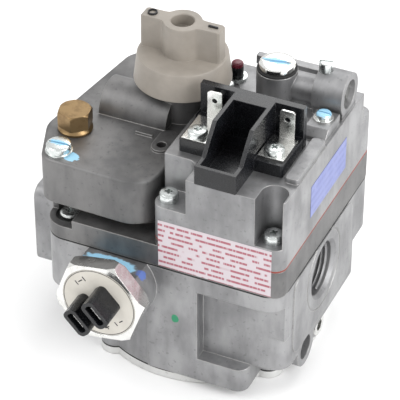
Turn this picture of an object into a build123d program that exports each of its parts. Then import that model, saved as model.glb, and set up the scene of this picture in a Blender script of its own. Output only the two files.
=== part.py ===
from build123d import *
import math
import os

# Combination gas valve with a manual cock, a flame-safety power unit, a servo
# operator block and a main diaphragm. The frame has its origin at the centre of
# the bottom plate's lower face, +X along the gas flow (outlet side), +Y away
# from the power unit, +Z up. All sizes are millimetres.

os.makedirs("parts", exist_ok=True)

BASE = (Align.CENTER, Align.CENTER, Align.MIN)
HANG = (Align.CENTER, Align.CENTER, Align.MAX)
CORNER = (Align.MIN, Align.MIN, Align.MIN)

# ------------------------------------------------------------ driving dimensions
running_gap = 0.05       # radial clearance of a shaft in its own bore
slip_gap = 0.3           # clearance between moving pieces that only pass
cover_gap = 1.5          # gap between the cock cover and the operator block

# Castings
flange_x = 105.0
flange_y = 97.8
flange_corner = 9.0
plate_t = 3.5
diaphragm_t = 0.8
body_h = 53.3
head_h = 25.0
drum_r = 48.5
gasket_t = 0.8
ear_r = 6.2
ear_inset = 2.5          # screw circle inside the drum's edge
ear_angles = (-124.0, -34.0, 56.0, 146.0)
lip_h = 10.1
layer_h = 12.7
tower_h = 36.1
overhang_h = 15.6        # height at which the cock cover starts to lean out
op_x = 56.0
op_y = 95.0
op_h = 32.6
op_corner = 5.0

# Pipe connections: 3/4 inch taper pipe thread and a pilot tube thread
pipe_r = 11.7
pipe_depth = 20.0
pipe_chamfer = 1.6
pipe_y = -4.8
pipe_below_gasket = 15.2
outlet_reach = 0.5       # outlet face beyond the flange
inlet_reach = 15.0       # inlet face beyond the flange
inlet_w = 46.6
inlet_h = 38.4
passage_w = 7.0
passage_h = 12.0
pilot_r = 5.4
pilot_depth = 12.0
pilot_y = -20.9
pilot_above_drum = 8.7
pilot_boss_r = 8.4

# Screws
screw_r = 2.4
screw_head_r = 4.0
screw_head_h = 3.9
small_head_r = 4.0
small_head_h = 2.6
small_shank_r = 1.9
cover_thread_l = 12.0
op_thread_l = 6.0        # short, so that the threads end above the front recess
tip_room = 0.6           # hole below a screw's tip
cover_screw_inset = 8.0
op_screw_inset = 6.5
op_screw_inset_x0 = 4.8
open_pocket_h = 16.1     # pocket floors above the operator's lower face
arch_pocket_h = 10.2
corner_pocket_h = 18.0

# Power unit and flame-safety valve
power_x = -18.5
power_below_gasket = 11.1
power_boss_r = 17.0
power_boss_reach = 11.1
power_nut_af = 35.0
power_nut_t = 6.9
power_disc_r = 15.9
power_disc_t = 1.0
barrel_r = 9.5
barrel_wall = 1.8
shroud_l = 12.6
shroud_w = 6.4
shroud_h = 11.5
shroud_tilt = -48.0
safety_travel = 4.0
safety_disc_r = 9.0
safety_seat_r = 7.0

# Manual cock and its knob
knob_from_operator = 12.0
knob_y = 7.1
knob_skirt_r = 20.0
knob_shoulder_r = 18.4
knob_skirt_z = 111.0
knob_shoulder_z = 123.0
knob_top_z = 137.5
knob_bar_half = 17.4
knob_bar_w = 6.3
knob_hub_r = 8.3
knob_bore_r = 4.7
knob_push = 1.5
cock_r_bottom = 10.0
cock_r_top = 8.4
cock_h = 20.0
spindle_r = 3.4
turret_r = 11.0

# Reset button
reset_from_edge = 4.7
reset_y = 23.7
reset_r = 2.6
reset_stand = 8.0
reset_travel = 4.0
reset_stem_r = 1.2
rocker_arm = 8.0

# Main valve
valve_travel = 3.0
valve_disc_r = 9.5
valve_seat_r = 7.0
valve_stem_r = 2.0
chamber_inset = 10.5     # diaphragm chamber inside the drum's edge
chamber_h = 11.5
diaphragm_free_w = 11.0  # unsupported ring of the diaphragm

# Servo operator, regulator tower and its fittings. Pairs named "_at" are taken
# from the centre of the operator's outline.
coil_at = (-0.5, -17.6)
coil_r = 10.0
coil_h = 20.0
plunger_r = 3.2
tower_at = (-3.5, 19.5)
reg_tower_r = 8.4
reg_tower_h = 13.5
reg_bore_r = 5.6
reg_cap_r = 7.4
vent_axis_h = 8.3
vent_r = 9.0
vent_bore_r = 6.2
vent_l = 13.0
vent_end_inset = 1.0
vent_from_tower_y = 2.1
pad_h = 4.5
adjuster_at = (21.9, 7.0)

# Terminal block
block_l = 44.0
block_inset_x = 4.3
block_front_inset = 16.7
block_w = 20.7
block_platform_h = 5.5
barrier_t = 3.0
barrier_h = 19.0
well_w = 17.3
well_inset_x = 14.7
well_overhang = 0.7
well_wall = 1.7
well_lip_h = 8.5
tab_w = 6.3
tab_t = 0.8

# ------------------------------------------------------------ derived levels
z_diaphragm = plate_t
z_body = z_diaphragm + diaphragm_t
z_gasket = z_body + body_h
z_cover = z_gasket + gasket_t
z_lip = z_cover + lip_h
z_seal = z_cover + layer_h
z_op = z_seal + gasket_t
z_deck = z_op + op_h
z_tower = z_cover + tower_h
z_head = z_gasket - head_h
pipe_z = z_gasket - pipe_below_gasket
pilot_z = z_body + pilot_above_drum
power_z = z_gasket - power_below_gasket

# ------------------------------------------------------------ derived places
half_x = flange_x / 2
front = -flange_y / 2
outlet_x = half_x + outlet_reach
inlet_x = -half_x - inlet_reach
op_x0 = half_x - op_x
op_cx = half_x - op_x / 2
op_cy = front + op_y / 2
op_back = front + op_y
ear_circle_r = drum_r - ear_inset
chamber_r = drum_r - chamber_inset
diaphragm_plate_r = chamber_r - diaphragm_free_w
power_boss_y = front - power_boss_reach
knob_x = op_x0 - knob_from_operator
reset_x = op_x0 + reset_from_edge
coil_x = op_cx + coil_at[0]
coil_y = op_cy + coil_at[1]
tower_x = op_cx + tower_at[0]
tower_y = op_cy + tower_at[1]
adjuster_x = op_cx + adjuster_at[0]
adjuster_y = op_cy + adjuster_at[1]
vent_x1 = half_x - vent_end_inset
vent_x0 = vent_x1 - vent_l
vent_y = tower_y + vent_from_tower_y
block_x0 = op_x0 + block_inset_x
block_x1 = block_x0 + block_l
block_front = front + block_front_inset
barrier_y = block_front + block_w
well_x0 = block_x0 + well_inset_x
well_x1 = well_x0 + well_w
well_front = front - well_overhang
vent_z = z_deck + vent_axis_h
z_reg_top = z_deck + reg_tower_h
z_platform = z_deck + block_platform_h
z_barrier = z_deck + barrier_h

ear_points = [
    (ear_circle_r * math.cos(math.radians(a)), ear_circle_r * math.sin(math.radians(a)))
    for a in ear_angles
]
cover_screw_x = -half_x + cover_screw_inset
cover_screws_xy = [
    (cover_screw_x, front + cover_screw_inset + 1.0),
    (cover_screw_x, -front - cover_screw_inset - 0.4),
]
op_screws_xyz = [
    (op_x0 + op_screw_inset_x0, front + op_screw_inset, z_op + open_pocket_h),
    (half_x - op_screw_inset, front + op_screw_inset, z_op + arch_pocket_h),
    (half_x - op_screw_inset + 0.4, op_back - op_screw_inset + 0.4, z_op + corner_pocket_h),
    (op_x0 + op_screw_inset_x0, op_back - op_screw_inset + 0.4, z_op + open_pocket_h),
]
screw_hole_r = screw_r + running_gap

# ------------------------------------------------------------ helpers


def machine_screws(seats, head_r, head_h, shank_r, shank_l, recess="cross"):
    """Screws whose heads rest on the given points, shanks pointing down."""
    with BuildPart() as screws:
        with Locations(*seats):
            Cylinder(head_r, head_h, align=BASE)
        tops = screws.edges().filter_by(GeomType.CIRCLE).filter_by(
            lambda e: any(abs(e.center().Z - s[2] - head_h) < 0.01 for s in seats)
        )
        fillet(tops, head_h * 0.3)
        with Locations(*seats):
            Cylinder(shank_r, shank_l, align=HANG)
        recess_at = [(s[0], s[1], s[2] + head_h) for s in seats]
        with Locations(*recess_at):
            if recess == "cross":
                Box(head_r * 1.15, head_r * 0.26, head_h * 0.9, mode=Mode.SUBTRACT)
                Box(head_r * 0.26, head_r * 1.15, head_h * 0.9, mode=Mode.SUBTRACT)
            else:
                Box(head_r * 3, head_r * 0.24, head_h * 0.8, mode=Mode.SUBTRACT)
    return screws.part


def washer(x, y, z, outer_r, inner_r, t):
    """A flat ring standing on the given point."""
    with BuildPart() as ring:
        with Locations((x, y, z)):
            Cylinder(outer_r, t, align=BASE)
            Cylinder(inner_r, t, align=BASE, mode=Mode.SUBTRACT)
    return ring.part


def coil_spring(x, y, z, height, mean_r, wire_r, turns):
    """A compression spring with its lowest point at z and its axis upright."""
    pitch = (height - 2 * wire_r) / turns
    with BuildPart() as spring:
        with BuildLine(Plane.XY.offset(z + wire_r)) as path:
            Helix(pitch, height - 2 * wire_r, mean_r, center=(x, y, 0))
        start = path.line @ 0
        with BuildSketch(Plane(origin=start, z_dir=path.line % 0)):
            Circle(wire_r)
        sweep(is_frenet=True)
    return spring.part


def save(part, label):
    """Label a finished piece and write it as its own STEP file."""
    part.label = label
    export_step(part, f"parts/{label}.step")


# ------------------------------------------------------------ bottom plate and diaphragm
plate_screw_r = 2.0
plate_head_r = 3.9
plate_head_h = 2.2
pan_r = chamber_r - 3.0
pan_depth = 1.6

with BuildPart() as bottom_plate:
    with BuildSketch():
        Circle(drum_r)
        with Locations(*ear_points):
            Circle(ear_r)
    extrude(amount=plate_t)
    with Locations((0, 0, plate_t)):
        Cylinder(pan_r, pan_depth, align=HANG, mode=Mode.SUBTRACT)
    with Locations(*ear_points):
        Cone(plate_head_r, plate_screw_r + running_gap, plate_head_h, align=BASE, mode=Mode.SUBTRACT)
        Cylinder(plate_screw_r + running_gap, plate_t, align=BASE, mode=Mode.SUBTRACT)
save(bottom_plate.part, "bottom_plate")

with BuildPart() as main_diaphragm:
    with BuildSketch(Plane.XY.offset(z_diaphragm)):
        Circle(drum_r)
        with Locations(*ear_points):
            Circle(ear_r)
            Circle(plate_screw_r + running_gap, mode=Mode.SUBTRACT)
    extrude(amount=diaphragm_t)
save(main_diaphragm.part, "main_diaphragm")

with BuildPart() as bottom_screws:
    with Locations(*ear_points):
        Cone(plate_head_r - running_gap, plate_screw_r, plate_head_h, align=BASE)
        Cylinder(plate_screw_r, 13.0, align=BASE)
    with Locations(*ear_points):
        Box(4.0, 0.9, 1.8, mode=Mode.SUBTRACT)
        Box(0.9, 4.0, 1.8, mode=Mode.SUBTRACT)
save(bottom_screws.part, "bottom_screws")

# ------------------------------------------------------------ main body casting
recess_x0 = half_x - 36.2
outlet_block_x = 40.0
outlet_block_y = 79.0
recess_depth = 6.0
recess_z0 = z_body + 11.2
recess_z1 = z_gasket - 7.4
foot_x1 = half_x - 15.0
pocket_half_w = 12.5
pocket_x0 = power_x - pocket_half_w
pocket_x1 = power_x + pocket_half_w
pocket_z0 = z_gasket - 24.6
pocket_y0 = front + 10.9
partition_t = 4.0
partition_y1 = -valve_disc_r - 0.5
partition_y0 = partition_y1 - partition_t
passage_y0 = partition_y0 - 1.0 - passage_w
chest_x1 = valve_disc_r + 2.5
chest_y1 = reset_y + 7.3
riser_x0 = chest_x1 + 5.0
riser_x1 = outlet_x - pipe_depth + 1.0
riser_w = 18.0
outlet_pad_w = 62.0
outlet_pad_h = 38.6      # stops above the pilot outlet
screen_room = 1.2
screen_r = pipe_r - 1.0
duct_l = 6.0
duct_y1 = pipe_y + 4.0
plug_r = 4.6
plug_x = half_x - 2.5
plug_y = -2.5
plug_depth = 8.0
tap_boss_r = 5.9
plug_z = z_body + tap_boss_r
boss_root_x = half_x - 24.5

with BuildPart() as main_body:
    # round diaphragm drum with screw ears
    with BuildSketch(Plane.XY.offset(z_body)):
        Circle(drum_r)
        with Locations(*ear_points):
            Circle(ear_r)
    extrude(amount=z_head - z_body)
    # rectangular head under the gasket face
    with BuildSketch(Plane.XY.offset(z_head)):
        RectangleRounded(flange_x, flange_y, flange_corner)
    extrude(amount=head_h)
    # flush front panel, foot and right-hand outlet block
    with Locations((-6.0, front, z_body)):
        Box(recess_x0 + 6.0, 24.0, z_head - z_body, align=CORNER)
    with Locations((recess_x0, front, z_body)):
        Box(foot_x1 - recess_x0, 24.0, recess_z0 - z_body, align=CORNER)
    with BuildSketch(Plane.XY.offset(recess_z0)):
        with Locations((half_x, front + recess_depth)):
            RectangleRounded(outlet_block_x, outlet_block_y, flange_corner - 1.0, align=(Align.MAX, Align.MIN))
    extrude(amount=z_head - recess_z0)
    # recess in the front face
    with Locations((recess_x0, front, recess_z0)):
        Box(flange_x, recess_depth, recess_z1 - recess_z0, align=CORNER, mode=Mode.SUBTRACT)
    foot_edge = main_body.edges().filter_by(Axis.Z).filter_by(
        lambda e: abs(e.center().X - foot_x1) < 0.1 and e.center().Y < front + 1
    )
    fillet(foot_edge, 5.0)
    # outlet face
    with BuildSketch(Plane.YZ.offset(outlet_x - 3.0)):
        with Locations((pipe_y, z_gasket - outlet_pad_h / 2)):
            RectangleRounded(outlet_pad_w, outlet_pad_h, 6.0)
    extrude(amount=3.0)
    # inlet boss
    with BuildSketch(Plane.YZ.offset(inlet_x)):
        with Locations((pipe_y, pipe_z)):
            RectangleRounded(inlet_w, inlet_h, 5.0)
    extrude(amount=-inlet_x - half_x - slip_gap)
    with BuildSketch(Plane.YZ.offset(-half_x - slip_gap)):
        with Locations((pipe_y, (z_gasket + pipe_z - inlet_h / 2) / 2)):
            Rectangle(inlet_w, z_gasket - pipe_z + inlet_h / 2)
    extrude(amount=12.0)
    # power unit boss, flat on top at the gasket face
    with BuildSketch(Plane.XZ.offset(-front)):
        with Locations((power_x, power_z)):
            Circle(power_boss_r)
        with Locations((power_x, z_gasket)):
            Rectangle(3 * power_boss_r, 20.0, align=(Align.CENTER, Align.MIN), mode=Mode.SUBTRACT)
    extrude(amount=front - power_boss_y)
    # pilot outlet boss and pressure tap boss
    with BuildSketch(Plane.YZ.offset(boss_root_x)):
        with Locations((pilot_y, pilot_z)):
            Circle(pilot_boss_r)
            Rectangle(2 * pilot_boss_r, 12.0, align=(Align.CENTER, Align.MIN))
    extrude(amount=half_x - boss_root_x)
    with BuildSketch(Plane.YZ.offset(boss_root_x)):
        with Locations((plug_y, plug_z)):
            Circle(tap_boss_r)
            Rectangle(2 * tap_boss_r, 10.0, align=(Align.CENTER, Align.MIN))
    extrude(amount=plug_x - boss_root_x)
    # machined ring round the outlet
    with BuildSketch(Plane.YZ.offset(outlet_x - 0.3)):
        with Locations((pipe_y, pipe_z)):
            Circle(18.0)
            Circle(17.0, mode=Mode.SUBTRACT)
    extrude(amount=0.3, mode=Mode.SUBTRACT)
    # pipe bores and the passages behind them
    for face_x, depth in ((outlet_x, -pipe_depth), (inlet_x, pipe_depth - screen_room)):
        with BuildSketch(Plane.YZ.offset(face_x)):
            with Locations((pipe_y, pipe_z)):
                Circle(pipe_r)
        extrude(amount=depth, mode=Mode.SUBTRACT)
    mouths = main_body.edges().filter_by(GeomType.CIRCLE).filter_by(
        lambda e: abs(e.radius - pipe_r) < 0.01
        and min(abs(e.center().X - outlet_x), abs(e.center().X - inlet_x)) < 0.01
    )
    chamfer(mouths, pipe_chamfer)
    # step that holds the inlet screen, and the duct from it
    with BuildSketch(Plane.YZ.offset(inlet_x + pipe_depth - screen_room)):
        with Locations((pipe_y, pipe_z)):
            Circle(screen_r)
    extrude(amount=screen_room, mode=Mode.SUBTRACT)
    with Locations((inlet_x + pipe_depth - screen_room / 2, passage_y0, pipe_z - passage_h / 2)):
        Box(duct_l, duct_y1 - passage_y0, passage_h, align=CORNER, mode=Mode.SUBTRACT)
    # safety valve pocket, valve chest, seat holes and the riser to the outlet
    with Locations((pocket_x0, pocket_y0, pocket_z0)):
        Box(pocket_x1 - pocket_x0, partition_y0 - pocket_y0, 40.0, align=CORNER, mode=Mode.SUBTRACT)
    with Locations((pocket_x0, partition_y1, pocket_z0)):
        Box(chest_x1 - pocket_x0, chest_y1 - partition_y1, 40.0, align=CORNER, mode=Mode.SUBTRACT)
    with BuildSketch(Plane.XZ.offset(-partition_y1)):
        with Locations((power_x, power_z)):
            Circle(safety_seat_r)
    extrude(amount=partition_y1 - partition_y0, mode=Mode.SUBTRACT)
    with Locations((inlet_x + pipe_depth - 1.0, passage_y0, pipe_z - passage_h / 2)):
        Box(pocket_x0 - inlet_x - pipe_depth + 1.5, passage_w, passage_h,
            align=CORNER, mode=Mode.SUBTRACT)
    with Locations((0, 0, z_body)):
        Cylinder(chamber_r, chamber_h, align=BASE, mode=Mode.SUBTRACT)
    with Locations((0, 0, z_body)):
        Cylinder(valve_seat_r, pocket_z0 - z_body, align=BASE, mode=Mode.SUBTRACT)
    with Locations((riser_x0, pipe_y - riser_w / 2, z_body + chamber_h - 1.0)):
        Box(riser_x1 - riser_x0, riser_w, pipe_z + 6.0 - z_body - chamber_h, align=CORNER, mode=Mode.SUBTRACT)
    # bores for the power unit, the pilot tube and the pressure tap plug
    with BuildSketch(Plane.XZ.offset(-power_boss_y)):
        with Locations((power_x, power_z)):
            Circle(barrel_r + running_gap)
    extrude(amount=power_boss_y - pocket_y0, mode=Mode.SUBTRACT)
    with BuildSketch(Plane.YZ.offset(half_x)):
        with Locations((pilot_y, pilot_z)):
            Circle(pilot_r)
    extrude(amount=-pilot_depth, mode=Mode.SUBTRACT)
    with BuildSketch(Plane.YZ.offset(plug_x)):
        with Locations((plug_y, plug_z)):
            Circle(plug_r + running_gap)
    extrude(amount=-plug_depth, mode=Mode.SUBTRACT)
    # screw holes
    with Locations(*[(x, y, z_gasket) for x, y in cover_screws_xy]):
        Cylinder(screw_hole_r, cover_thread_l + tip_room, align=HANG, mode=Mode.SUBTRACT)
    with Locations(*[(x, y, z_gasket) for x, y, z in op_screws_xyz]):
        Cylinder(screw_hole_r, op_thread_l + tip_room, align=HANG, mode=Mode.SUBTRACT)
    with Locations(*[(x, y, z_body) for x, y in ear_points]):
        Cylinder(plate_screw_r + running_gap, 12.0, align=BASE, mode=Mode.SUBTRACT)
save(main_body.part, "main_body")

# ------------------------------------------------------------ gaskets
with BuildPart() as body_gasket:
    with BuildSketch(Plane.XY.offset(z_gasket)):
        RectangleRounded(flange_x, flange_y, flange_corner)
        with Locations(((pocket_x0 + chest_x1) / 2, (pocket_y0 + chest_y1) / 2)):
            Rectangle(chest_x1 - pocket_x0, chest_y1 - pocket_y0, mode=Mode.SUBTRACT)
        with Locations(*cover_screws_xy, *[(x, y) for x, y, z in op_screws_xyz]):
            Circle(screw_hole_r, mode=Mode.SUBTRACT)
    extrude(amount=gasket_t)
save(body_gasket.part, "body_gasket")

with BuildPart() as operator_gasket:
    with BuildSketch(Plane.XY.offset(z_seal)):
        with Locations((op_cx, op_cy)):
            RectangleRounded(op_x, op_y, op_corner)
        with Locations((coil_x, coil_y)):
            Circle(coil_r + 1.0, mode=Mode.SUBTRACT)
        with Locations((reset_x, reset_y)):
            Circle(reset_stem_r + slip_gap, mode=Mode.SUBTRACT)
        with Locations(*[(x, y) for x, y, z in op_screws_xyz]):
            Circle(screw_hole_r, mode=Mode.SUBTRACT)
    extrude(amount=gasket_t)
save(operator_gasket.part, "operator_gasket")

# ------------------------------------------------------------ cock cover casting
screw_corner = (4.4 - half_x, front + 9.0)
plug_corner = (3.2 - half_x, front + 25.8)
cover_right = op_x0 - cover_gap
disc_corner_r = 12.0
disc_corner = (cover_right - disc_corner_r, front + 13.4)
rear_left = (8.5 - half_x, -front - 18.9)
rear_right_r = 11.0
rear_right = (cover_right - rear_right_r, -front - 16.9)
set_back = 8.5
z_overhang = z_cover + overhang_h
pocket_screw_r = 5.6
pocket_floor = z_cover + 4.0
bonnet_y = knob_y - 6.1
bonnet_x0 = 7.0 - half_x
bonnet_r = 11.0
bonnet_z = z_tower - 0.5
turret_top = z_deck + 3.0
retainer_t = 1.2
z_retainer = z_cover + 1.5
z_cock = z_cover + 8.0
lug_h = 1.2
lug_x = knob_x + 3.3
lug_y = knob_y - 24.6
hex_plug_thread_r = 5.0
seal_screw_shank_r = 2.4

with BuildPart() as top_casting:
    # flange lip and the layer that carries the operator
    with BuildSketch(Plane.XY.offset(z_cover)):
        RectangleRounded(flange_x, flange_y, flange_corner)
    extrude(amount=lip_h)
    with BuildSketch(Plane.XY.offset(z_cover)):
        with Locations((op_cx, op_cy)):
            RectangleRounded(op_x, op_y, op_corner)
    extrude(amount=layer_h)
    # lower tower, set back behind the flange ledge
    with BuildSketch(Plane.XY.offset(z_lip)):
        with Locations((screw_corner[0] + 4.0, screw_corner[1] + set_back + 3.0)):
            Circle(8.0)
        with Locations((disc_corner[0], disc_corner[1] + set_back)):
            Circle(disc_corner_r)
        with Locations(rear_left):
            Circle(8.0)
        with Locations(rear_right):
            Circle(rear_right_r)
        make_hull()
    extrude(amount=z_overhang - z_lip)
    # upper tower, leaning out over the ledge
    with BuildSketch(Plane.XY.offset(z_overhang)):
        with Locations(screw_corner):
            Circle(7.0)
        with Locations(plug_corner):
            Circle(12.0)
        with Locations(disc_corner):
            Circle(disc_corner_r)
        with Locations(rear_left):
            Circle(10.0)
        with Locations(rear_right):
            Circle(rear_right_r)
        make_hull()
    extrude(amount=z_tower - z_overhang)
    rim = top_casting.faces().sort_by(Axis.Z)[-1].edges()
    fillet(rim, 1.2)
    # turret under the knob and the horizontal bonnet that joins it
    with Locations((knob_x, knob_y, z_tower - 2.0)):
        Cylinder(turret_r, turret_top - z_tower + 2.0, align=BASE)
    with BuildSketch(Plane.YZ.offset(bonnet_x0)):
        with Locations((bonnet_y, bonnet_z)):
            Circle(bonnet_r)
    extrude(amount=knob_x - bonnet_x0)
    # index rib and lug on the deck
    with Locations((lug_x - 9.8, lug_y + 1.5, z_tower)):
        Box(7.5, 1.0, lug_h, align=BASE)
    with BuildSketch(Plane.XY.offset(z_tower)):
        with Locations((lug_x, lug_y)):
            SlotOverall(15.0, 8.0, rotation=90)
    extrude(amount=lug_h)
    with Locations((lug_x, lug_y - 3.0, z_tower + lug_h)):
        Cylinder(2.0, 5.0, align=HANG, mode=Mode.SUBTRACT)
    # pocket of the front-left screw
    with Locations((cover_screws_xy[0][0], cover_screws_xy[0][1], pocket_floor)):
        Cylinder(pocket_screw_r, z_overhang - pocket_floor - 1.0, align=BASE, mode=Mode.SUBTRACT)
    with Locations((-half_x - 1.0, front - 1.0, pocket_floor + 2.0)):
        Box(half_x + cover_screws_xy[0][0] + pocket_screw_r + 1.0, 11.0,
            z_lip - pocket_floor - 2.0, align=CORNER, mode=Mode.SUBTRACT)
    with Locations((cover_screws_xy[1][0], cover_screws_xy[1][1], pocket_floor)):
        Cylinder(pocket_screw_r, z_tower - pocket_floor + 2.0, align=BASE, mode=Mode.SUBTRACT)
    # cock seat, spindle bore and the chamber below
    with Locations((knob_x, knob_y, z_cock)):
        Cone(cock_r_bottom + running_gap, cock_r_top + running_gap, cock_h, align=BASE, mode=Mode.SUBTRACT)
        Cylinder(spindle_r + running_gap, turret_top - z_cock, align=BASE, mode=Mode.SUBTRACT)
        Cylinder(cock_r_bottom + running_gap, z_cock - z_cover, align=HANG, mode=Mode.SUBTRACT)
    with Locations((knob_x - cock_r_bottom, knob_y, z_cock + cock_h / 2)):
        Box(24.0, 6.0, 8.0, align=(Align.MAX, Align.CENTER, Align.CENTER), mode=Mode.SUBTRACT)
    with Locations((knob_x - cock_r_bottom - 24.0, knob_y, z_cover)):
        Box(8.0, 8.0, z_cock + cock_h / 2 + 4.0 - z_cover, align=(Align.MIN, Align.CENTER, Align.MIN),
            mode=Mode.SUBTRACT)
    # ports up to the operator and the reset stem's way down
    with Locations((coil_x, coil_y, z_cover)):
        Cylinder(3.0, layer_h, align=BASE, mode=Mode.SUBTRACT)
    with Locations((reset_x, reset_y, z_cover)):
        Cylinder(reset_stem_r + slip_gap, layer_h, align=BASE, mode=Mode.SUBTRACT)
    # tapped holes and screw holes
    with Locations((*plug_corner, z_tower)):
        Cylinder(hex_plug_thread_r + running_gap, 9.0, align=HANG, mode=Mode.SUBTRACT)
    with Locations((*screw_corner, z_tower)):
        Cylinder(seal_screw_shank_r + running_gap, 9.0, align=HANG, mode=Mode.SUBTRACT)
    with Locations(*[(x, y, z_cover) for x, y in cover_screws_xy]):
        Cylinder(screw_hole_r, lip_h, align=BASE, mode=Mode.SUBTRACT)
    with Locations(*[(x, y, z_cover) for x, y, z in op_screws_xyz]):
        Cylinder(screw_hole_r, layer_h, align=BASE, mode=Mode.SUBTRACT)
save(top_casting.part, "top_casting")

cover_screw_seats = [(x, y, pocket_floor) for x, y in cover_screws_xy]
save(machine_screws(cover_screw_seats, screw_head_r, screw_head_h, screw_r,
                    pocket_floor - z_gasket + cover_thread_l), "cover_screws")

# brass test plug and sealed slotted screw on the cover
collar_t = 2.9
collar_r = 7.2
hex_af = 12.7
hex_h = 6.6
with BuildPart() as test_plug:
    with Locations((*plug_corner, z_tower)):
        Cylinder(collar_r, collar_t, align=BASE)
        Cylinder(hex_plug_thread_r, 8.5, align=HANG)
    with BuildSketch(Plane.XY.offset(z_tower + collar_t)):
        with Locations(plug_corner):
            RegularPolygon(hex_af / 2, 6, major_radius=False, rotation=12)
    extrude(amount=hex_h)
    chamfer(test_plug.faces().sort_by(Axis.Z)[-1].edges(), 0.5)
save(test_plug.part, "test_plug")

seal_washer_t = 1.0
seal_head_r = 5.1
save(washer(*screw_corner, z_tower, seal_head_r + 0.4, seal_screw_shank_r + running_gap, seal_washer_t),
     "seal_screw_washer")
save(machine_screws([(*screw_corner, z_tower + seal_washer_t)], seal_head_r, 3.2,
                    seal_screw_shank_r, 9.0, recess="slot"), "seal_screw")

# ------------------------------------------------------------ cock, spindle and knob
knob_wall = 2.2
knob_seat_z = turret_top + 2.0
spindle_top = knob_top_z - 8.0
with BuildPart() as cock_plug:
    with Locations((knob_x, knob_y, z_cock)):
        Cone(cock_r_bottom, cock_r_top, cock_h, align=BASE)
    with Locations((knob_x, knob_y, z_cock + cock_h / 2)):
        Cylinder(3.6, 3 * cock_r_bottom, rotation=(0, 90, 0), mode=Mode.SUBTRACT)
save(cock_plug.part, "cock_plug")

with BuildPart() as knob_spindle:
    with Locations((knob_x, knob_y, z_cock + cock_h)):
        Cylinder(spindle_r, spindle_top - z_cock - cock_h, align=BASE)
    with Locations((knob_x, knob_y + spindle_r - 0.9, spindle_top)):
        Box(3 * spindle_r, 3.0, 12.0, align=(Align.CENTER, Align.MIN, Align.MAX), mode=Mode.SUBTRACT)
save(knob_spindle.part, "knob_spindle")

with BuildPart() as cock_retainer:
    with Locations((knob_x, knob_y, z_retainer)):
        Cylinder(cock_r_bottom, retainer_t, align=BASE)
        with PolarLocations(6.0, 4):
            Cylinder(1.6, retainer_t, align=BASE, mode=Mode.SUBTRACT)
save(cock_retainer.part, "cock_retainer")
save(coil_spring(knob_x, knob_y, z_retainer + retainer_t, z_cock - z_retainer - retainer_t,
                 7.0, 0.6, 3), "cock_spring")

with BuildPart() as knob:
    with BuildSketch(Plane.XZ.offset(-knob_y)):
        with BuildLine():
            Polyline(
                (knob_x, knob_seat_z + knob_push + 1.5),
                (knob_x + knob_skirt_r - knob_wall, knob_seat_z + knob_push + 1.5),
                (knob_x + knob_skirt_r - knob_wall, knob_skirt_z),
                (knob_x + knob_skirt_r, knob_skirt_z),
                (knob_x + knob_shoulder_r, knob_shoulder_z),
                (knob_x, knob_shoulder_z),
                close=True,
            )
        make_face()
    revolve(axis=Axis((knob_x, knob_y, 0), (0, 0, 1)))
    with BuildSketch(Plane.XY.offset(knob_shoulder_z)):
        with Locations((knob_x, knob_y)):
            Rectangle(2 * knob_bar_half, knob_bar_w)
            Circle(knob_hub_r)
    extrude(amount=knob_top_z - knob_shoulder_z)
    inner = knob.edges().filter_by(Axis.Z).filter_by(
        lambda e: abs(abs(e.center().Y - knob_y) - knob_bar_w / 2) < 0.01
        and abs(e.center().X - knob_x) < knob_hub_r
    )
    fillet(inner, 5.0)
    fillet(knob.faces().sort_by(Axis.Z)[-1].edges(), 0.5)
    with Locations((knob_x, knob_y, knob_top_z)):
        Cylinder(knob_bore_r, 7.0, align=HANG, mode=Mode.SUBTRACT)
        Cylinder(spindle_r + running_gap, knob_top_z - knob_skirt_z, align=HANG, mode=Mode.SUBTRACT)
save(knob.part, "knob")

mark_h = 0.8
mark_x = knob_bar_half - 4.2
with BuildPart() as knob_marks:
    with BuildSketch(Plane.XY.offset(knob_top_z)):
        with Locations((knob_x - mark_x, knob_y)):
            Circle(2.1)
            Circle(1.4, mode=Mode.SUBTRACT)
        with Locations((knob_x + mark_x, knob_y)):
            Rectangle(4.4, 0.8)
    extrude(amount=mark_h)
save(knob_marks.part, "knob_marks")
save(coil_spring(knob_x, knob_y, turret_top, knob_seat_z + knob_push + 1.5 - turret_top,
                 5.4, 0.5, 3), "knob_spring")

# ------------------------------------------------------------ operator housing
ridge_x0 = block_x1 + 1.6
frame_t = 1.2
coil_lift = 0.4
solenoid_room_r = coil_r + 1.5
solenoid_room_h = coil_lift + coil_h + frame_t
reset_bore_r = reset_r + 0.2
reset_pocket_h = 12.0
adjuster_shank_r = 1.7
stud_r = 2.8
stud_x = vent_x0 + 2.5
spot_face = 0.6
block_screw = (block_x0 - 0.1, barrier_y + 24.5)

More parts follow.
